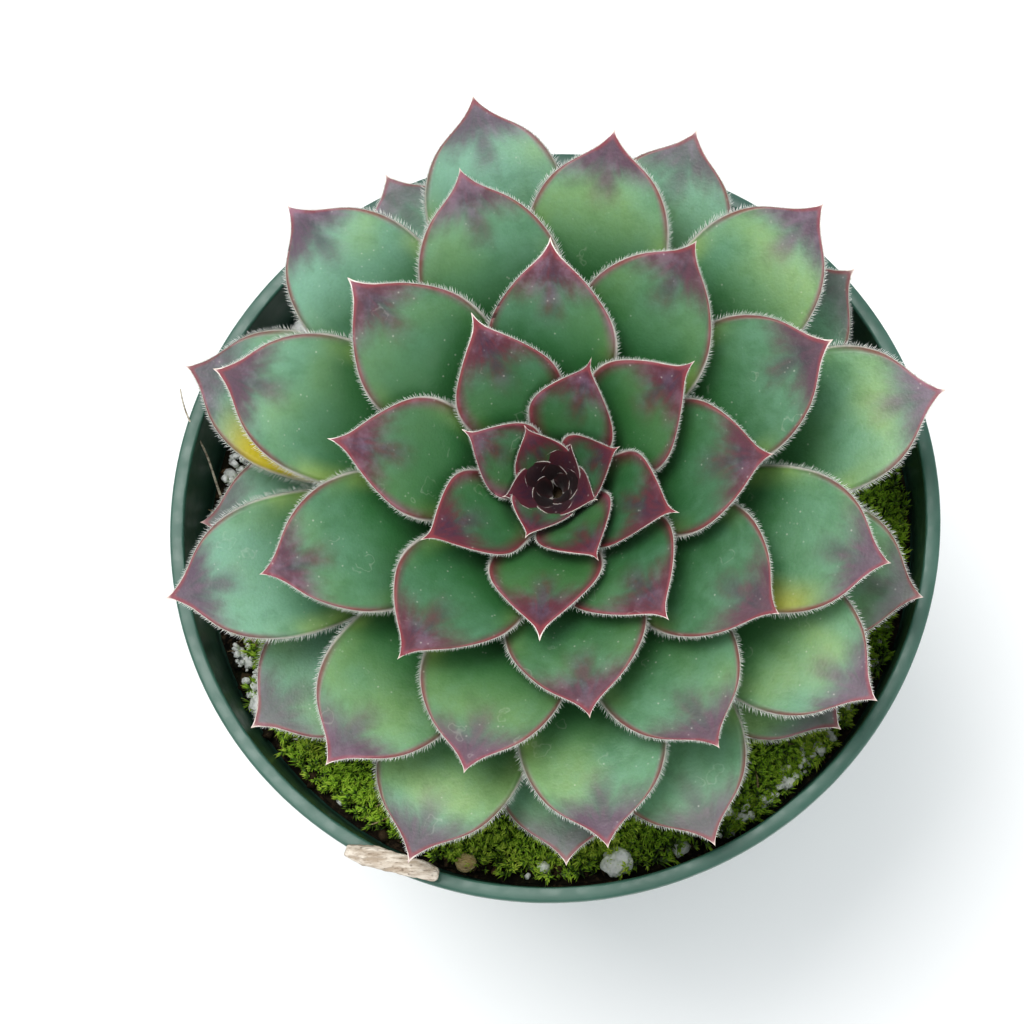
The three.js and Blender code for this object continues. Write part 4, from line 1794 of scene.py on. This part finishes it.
@dataclass
class MossBed:
    """The three cushions of moss, each a dark cushion under many shoots."""

    nodes: dict[str, bpy.types.Object]
    shoot_area: float = 0.62 * MM * MM
    shoot_height: float = 3.0 * MM
    shoot_width: float = 1.9 * MM
    shoot_sunk: float = 0.3 * MM
    shoot_tilt: float = 0.22
    tuft: float = 5 * MM
    steepest: float = 0.15
    lump: float = 3 * MM
    lump_depth: float = 0.9 * MM
    names: tuple[str, ...] = ("moss_front", "moss_right", "moss_left")
    first_seed: int = 40

    @staticmethod
    def _shoot() -> Stencil:
        """One shoot, 1 m tall: narrow leaflets in three tiers round an upright axis.

        Returns:
            The stencil.
        """
        bpy.ops.object.select_all(action="DESELECT")
        bpy.ops.mesh.primitive_cone_add(vertices=3, radius1=0.16, depth=0.62, location=(0, 0, 0.31))
        leaflet = started("leaflet")
        settle(leaflet)
        with editing(leaflet):
            bpy.ops.transform.resize(value=(1.0, 0.5, 1.0), center_override=(0, 0, 0))
        stencil = Stencil.taken_from(leaflet)
        frames = []
        for tier, (height, count, splay) in enumerate(((0.0, 4, 0.95), (0.24, 3, 0.6), (0.42, 3, 0.22))):
            for index in range(count):
                angle = 360 * (index / count) + 41 * tier
                out = polar(angle, math.sin(splay), math.cos(splay))
                frames.append(frame_at(Vector((0, 0, height)), out, 0.0, (1, 1, 1)))
        return Stencil.taken_from(stencil.copied("shoot", np.array(frames), np.zeros(len(frames))))

    def _cushion(self, node: bpy.types.Object, finish: bpy.types.Material) -> bpy.types.Object:
        """Rounds a copy of the node and roughens it.

        Args:
            node: The cushion's node.
            finish: Its material.

        Returns:
            The cushion.
        """
        piece = placed(node.name + "_cushion", node.data.copy())
        with editing(piece):
            bpy.ops.mesh.remove_doubles(threshold=WELD)
            bpy.ops.mesh.tris_convert_to_quads()
        subdivided(piece, 2)
        roughen(piece, self.lump, self.lump_depth, 2.0)
        shade_smooth(piece)
        dress(piece, finish)
        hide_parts(node.name)
        return piece

    def _cover(
        self, cushion: bpy.types.Object, shoot: Stencil, finish: bpy.types.Material, seed: int
    ) -> None:
        """Covers a cushion's upper side with shoots that stream outwards.

        Args:
            cushion: The cushion.
            shoot: One shoot.
            finish: The shoots' material.
            seed: Seed of its random numbers.
        """
        random = np.random.default_rng(seed)
        mesh = cushion.data
        mesh.calc_loop_triangles()
        frames = []
        for face in mesh.loop_triangles:
            if face.normal.z < self.steepest:
                continue
            expected = face.area / self.shoot_area
            for _ in range(int(expected) + (random.uniform() < expected % 1)):
                one, two, three = (mesh.vertices[corner].co for corner in face.vertices)
                share, rest = sorted(random.uniform(0, 1, 2))
                place = one * share + two * (rest - share) + three * (1 - rest)
                outward = Vector((place.x, place.y, 0)).normalized()
                lean = face.normal * 0.4 + Vector((0, 0, 0.8)) + outward * 0.45
                lean += Vector(random.normal(0, self.shoot_tilt, 3))
                drift = noise.noise(place / self.tuft)
                tall = self.shoot_height + (1.5 * drift + random.uniform(-0.4, 0.8)) * MM
                wide = self.shoot_width * random.uniform(0.8, 1.25)
                low = place - face.normal * self.shoot_sunk
                frames.append(frame_at(low, lean.normalized(), random.uniform(0, 6.28), (wide, wide, tall)))
        shades = random.uniform(0, 1, len(frames))
        piece = shoot.copied(cushion.name.replace("_cushion", "_shoots"), np.array(frames), shades)
        dress(piece, finish)

    def _strays(self, ground: BVHTree, shoot: Stencil, finish: bpy.types.Material) -> None:
        """Scatters single shoots on the bare mix round the cushions.

        Args:
            ground: The crust's surface.
            shoot: One shoot.
            finish: The shoots' material.
        """
        left = ((150, 184, 0.25), (184, 206, 1.4), (206, 298, 1.0))
        right = ((298, 372, 1.5), (372, 392, 0.4))
        front = ((206, 232, 1.3), (232, 300, 1.1))
        beds = (
            ("moss_strays_left", 1900, 3.4, left, 31, 40, 50),
            ("moss_strays_right", 3000, 3.6, right, 32, 42, 52.4),
            ("moss_strays_front", 2000, 3.6, front, 33, 43, 52.2),
        )
        size = (0.75, 0.75, 1.1)
        for name, count, tall, sectors, seed, inner, outer in beds:
            scatter = Scatter(
                name, count, 1.5 * MM, tall * MM, size, sectors, seed, inner * MM, outer * MM, 0.4
            )
            frames, shades = scatter.frames(ground)
            dress(shoot.copied(scatter.name, frames, shades), finish)

    def build(self, ground: BVHTree) -> None:
        """Builds and dresses the cushions and their shoots.

        Args:
            ground: The crust's surface.
        """
        base = EarthFinish(
            "moss_floor", paint(40, 58, 18), paint(84, 118, 34), paint(130, 160, 60), paint(66, 98, 28)
        ).material()
        finish = MossFinish().material()
        shoot = self._shoot()
        for index, name in enumerate(self.names):
            cushion = self._cushion(self.nodes[name], base)
            self._cover(cushion, shoot, finish, self.first_seed + index)
        self._strays(ground, shoot, finish)


@dataclass
class Debris:
    """Perlite lumps, the two bits of bark and the thin root over the rim."""

    nodes: dict[str, bpy.types.Object]
    lumps: tuple[str, ...] = ("perlite_front", "perlite_left", "perlite_back")
    lump_divisions: int = 5
    lump_breaks: tuple[tuple[float, float, float], ...] = ((0.42, 0.17, 0), (0.13, 0.06, 3))
    wood_breaks: tuple[tuple[float, float, float], ...] = (
        (2.6 * MM, 0.38 * MM, 0),
        (0.8 * MM, 0.13 * MM, 5),
    )
    root_radius: float = 0.22 * MM
    root_route: tuple[tuple[float, float, float], ...] = (
        (-56.0, 20.5, 96.0),
        (-55.6, 18.0, 95.5),
        (-54.6, 15.6, 95.2),
        (-53.4, 13.2, 93.4),
        (-52.6, 11.4, 90.6),
        (-52.2, 9.2, 87.8),
        (-51.4, 6.0, 85.4),
        (-50.2, 3.0, 83.6),
    )

    def _lump(self, name: str, finish: bpy.types.Material, seed: float) -> None:
        """Makes a porous lump the size of its node.

        Args:
            name: Name of the node.
            finish: Its material.
            seed: Shifts the noise.
        """
        low, high = (Vector(corner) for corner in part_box(name))
        bpy.ops.object.select_all(action="DESELECT")
        bpy.ops.mesh.primitive_ico_sphere_add(subdivisions=self.lump_divisions, radius=0.5)
        piece = started(name + "_lump")
        for size, depth, shift in self.lump_breaks:
            roughen(piece, size, depth, seed + shift)
        piece.scale = high - low
        piece.location = (low + high) / 2
        settle(piece)
        shade_smooth(piece)
        dress(piece, finish)
        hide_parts(name)

    def _wood(self, name: str, along: float, seed: float, *tones: Colour) -> None:
        """Makes a weathered bit of bark from its node's own shape.

        Args:
            name: Name of the node.
            along: Direction of the grain in degrees.
            seed: Shifts the noise.
            tones: Its pale and its grey colour.
        """
        node = self.nodes[name]
        piece = placed(name + "_piece", node.data.copy())
        with editing(piece):
            bpy.ops.mesh.remove_doubles(threshold=WELD)
            bpy.ops.mesh.tris_convert_to_quads()
        subdivided(piece, 1)
        subdivided(piece, 2, simple=True)
        for size, depth, shift in self.wood_breaks:
            roughen(piece, size, depth, seed + shift)
        shade_smooth(piece, 50)
        dress(piece, BarkFinish(name + "_wood", along, *tones).material())
        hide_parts(name)

    def _root(self) -> None:
        """Lays a thin dry root from the mix over the lip."""
        curve = bpy.data.curves.new("dry_root", "CURVE")
        curve.dimensions = "3D"
        curve.bevel_depth = self.root_radius
        curve.bevel_resolution = 2
        curve.resolution_u = 8
        curve.use_fill_caps = True
        spline = curve.splines.new("NURBS")
        spline.points.add(len(self.root_route) - 1)
        spline.use_endpoint_u = True
        for index, (point, place) in enumerate(zip(spline.points, self.root_route)):
            point.co = (*(part * MM for part in place), 1.0)
            point.radius = 0.45 + 0.75 * index / len(self.root_route)
        piece = placed("dry_root", curve)
        select_only(piece)
        bpy.ops.object.convert(target="MESH")
        piece = bpy.context.view_layer.objects.active
        dress(piece, BarkFinish("root_skin", 90, paint(214, 206, 188)).material())

    def build(self) -> None:
        """Builds and dresses every bit."""
        stone = StoneFinish().material()
        for index, name in enumerate(self.lumps):
            self._lump(name, stone, 2.0 + 5 * index)
        self._wood("bark_stick", -15, 4.0, paint(226, 216, 202), paint(178, 162, 144))
        self._wood("bark_chip", 70, 8.0, paint(248, 228, 184), paint(206, 178, 130))
        self._root()


# --------------------------------------------------------------------- studio


@dataclass
class Studio:
    """A pale floor, soft light and the camera."""

    camera_place: Vector = field(default_factory=lambda: Vector((25.455, -95.0, 462.052)) * MM)
    camera_aim: Vector = field(default_factory=lambda: Vector((-5.688, 0.392, 95.0)) * MM)
    lens: float = 90.28
    sensor: float = 36.0
    clip_start: float = 10 * MM
    floor_size: float = 6.0
    sky: float = 0.7
    sky_tint: Colour = (0.95, 0.975, 1.0, 1.0)
    key_power: float = 9.5
    key_place: Vector = field(default_factory=lambda: Vector((-0.3, 0.28, 1.3)))
    key_size: float = 0.7
    key_tint: Colour = (1.0, 0.99, 0.97, 1.0)
    fill_power: float = 3.2
    fill_place: Vector = field(default_factory=lambda: Vector((0.8, -0.5, 0.9)))
    fill_size: float = 0.9
    fill_tint: Colour = (0.96, 0.98, 1.0, 1.0)
    lamp_aim: Vector = field(default_factory=lambda: Vector((0, 0, 90)) * MM)

    def _camera(self) -> None:
        """Looks down on the rosette, with the frame's Y axis up in the picture."""
        back = (self.camera_place - self.camera_aim).normalized()
        right = Vector((0, 1, 0)).cross(back).normalized()
        up = back.cross(right)
        data = bpy.data.cameras.new("camera")
        data.lens = self.lens
        data.sensor_width = self.sensor
        data.clip_start = self.clip_start
        camera = bpy.data.objects.new("camera", data)
        turn = Matrix((right, up, back)).transposed().to_4x4()
        camera.matrix_world = Matrix.Translation(self.camera_place) @ turn
        bpy.context.collection.objects.link(camera)
        bpy.context.scene.camera = camera

    def _lamp(self, name: str, place: Vector, power: float, size: float, tint: Colour) -> None:
        """Hangs one square soft lamp that faces the rosette.

        Args:
            name: Name of the lamp.
            place: Where it hangs.
            power: Its power in watts.
            size: Its width in metres.
            tint: Its colour.
        """
        data = bpy.data.lights.new(name, "AREA")
        data.energy = power
        data.size = size
        data.color = tint[:3]
        lamp = bpy.data.objects.new(name, data)
        lamp.location = place
        aim = self.lamp_aim - place
        lamp.rotation_euler = aim.to_track_quat("-Z", "Y").to_euler()
        bpy.context.collection.objects.link(lamp)

    def _floor(self) -> None:
        """Lays the floor."""
        bpy.ops.object.select_all(action="DESELECT")
        bpy.ops.mesh.primitive_plane_add(size=self.floor_size)
        floor = started("studio_floor")
        bench = Bench("pale_floor")
        haze = bench.noise(3, 2)
        bench.set(Base_Color=bench.blend(haze, paint(246, 246, 246), paint(250, 250, 250)))
        bench.set(Roughness=0.9, Specular_IOR_Level=0.1)
        floor.data.materials.append(bench.material)

    def build(self) -> None:
        """Sets up the studio."""
        world = bpy.data.worlds.new("soft_sky")
        world.use_nodes = True
        sky = world.node_tree.nodes["Background"]
        sky.inputs["Color"].default_value = self.sky_tint
        sky.inputs["Strength"].default_value = self.sky
        bpy.context.scene.world = world
        bpy.context.scene.view_settings.view_transform = "Standard"
        bpy.context.scene.view_settings.look = "Medium High Contrast"
        self._floor()
        self._lamp("key_lamp", self.key_place, self.key_power, self.key_size, self.key_tint)
        self._lamp("fill_lamp", self.fill_place, self.fill_power, self.fill_size, self.fill_tint)
        self._camera()


def main() -> None:
    """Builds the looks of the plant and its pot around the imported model."""
    logging.basicConfig(level=logging.INFO, format="%(name)s %(message)s")
    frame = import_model()
    bpy.ops.object.select_all(action="DESELECT")
    nodes = frame["nodes"]
    Studio().build()
    NurseryPot().build()
    ground = PottingMix(nodes).build()
    MossBed(nodes).build(ground)
    Debris(nodes).build()
    Rosette(nodes).build()


if __name__ == "__main__":
    main()
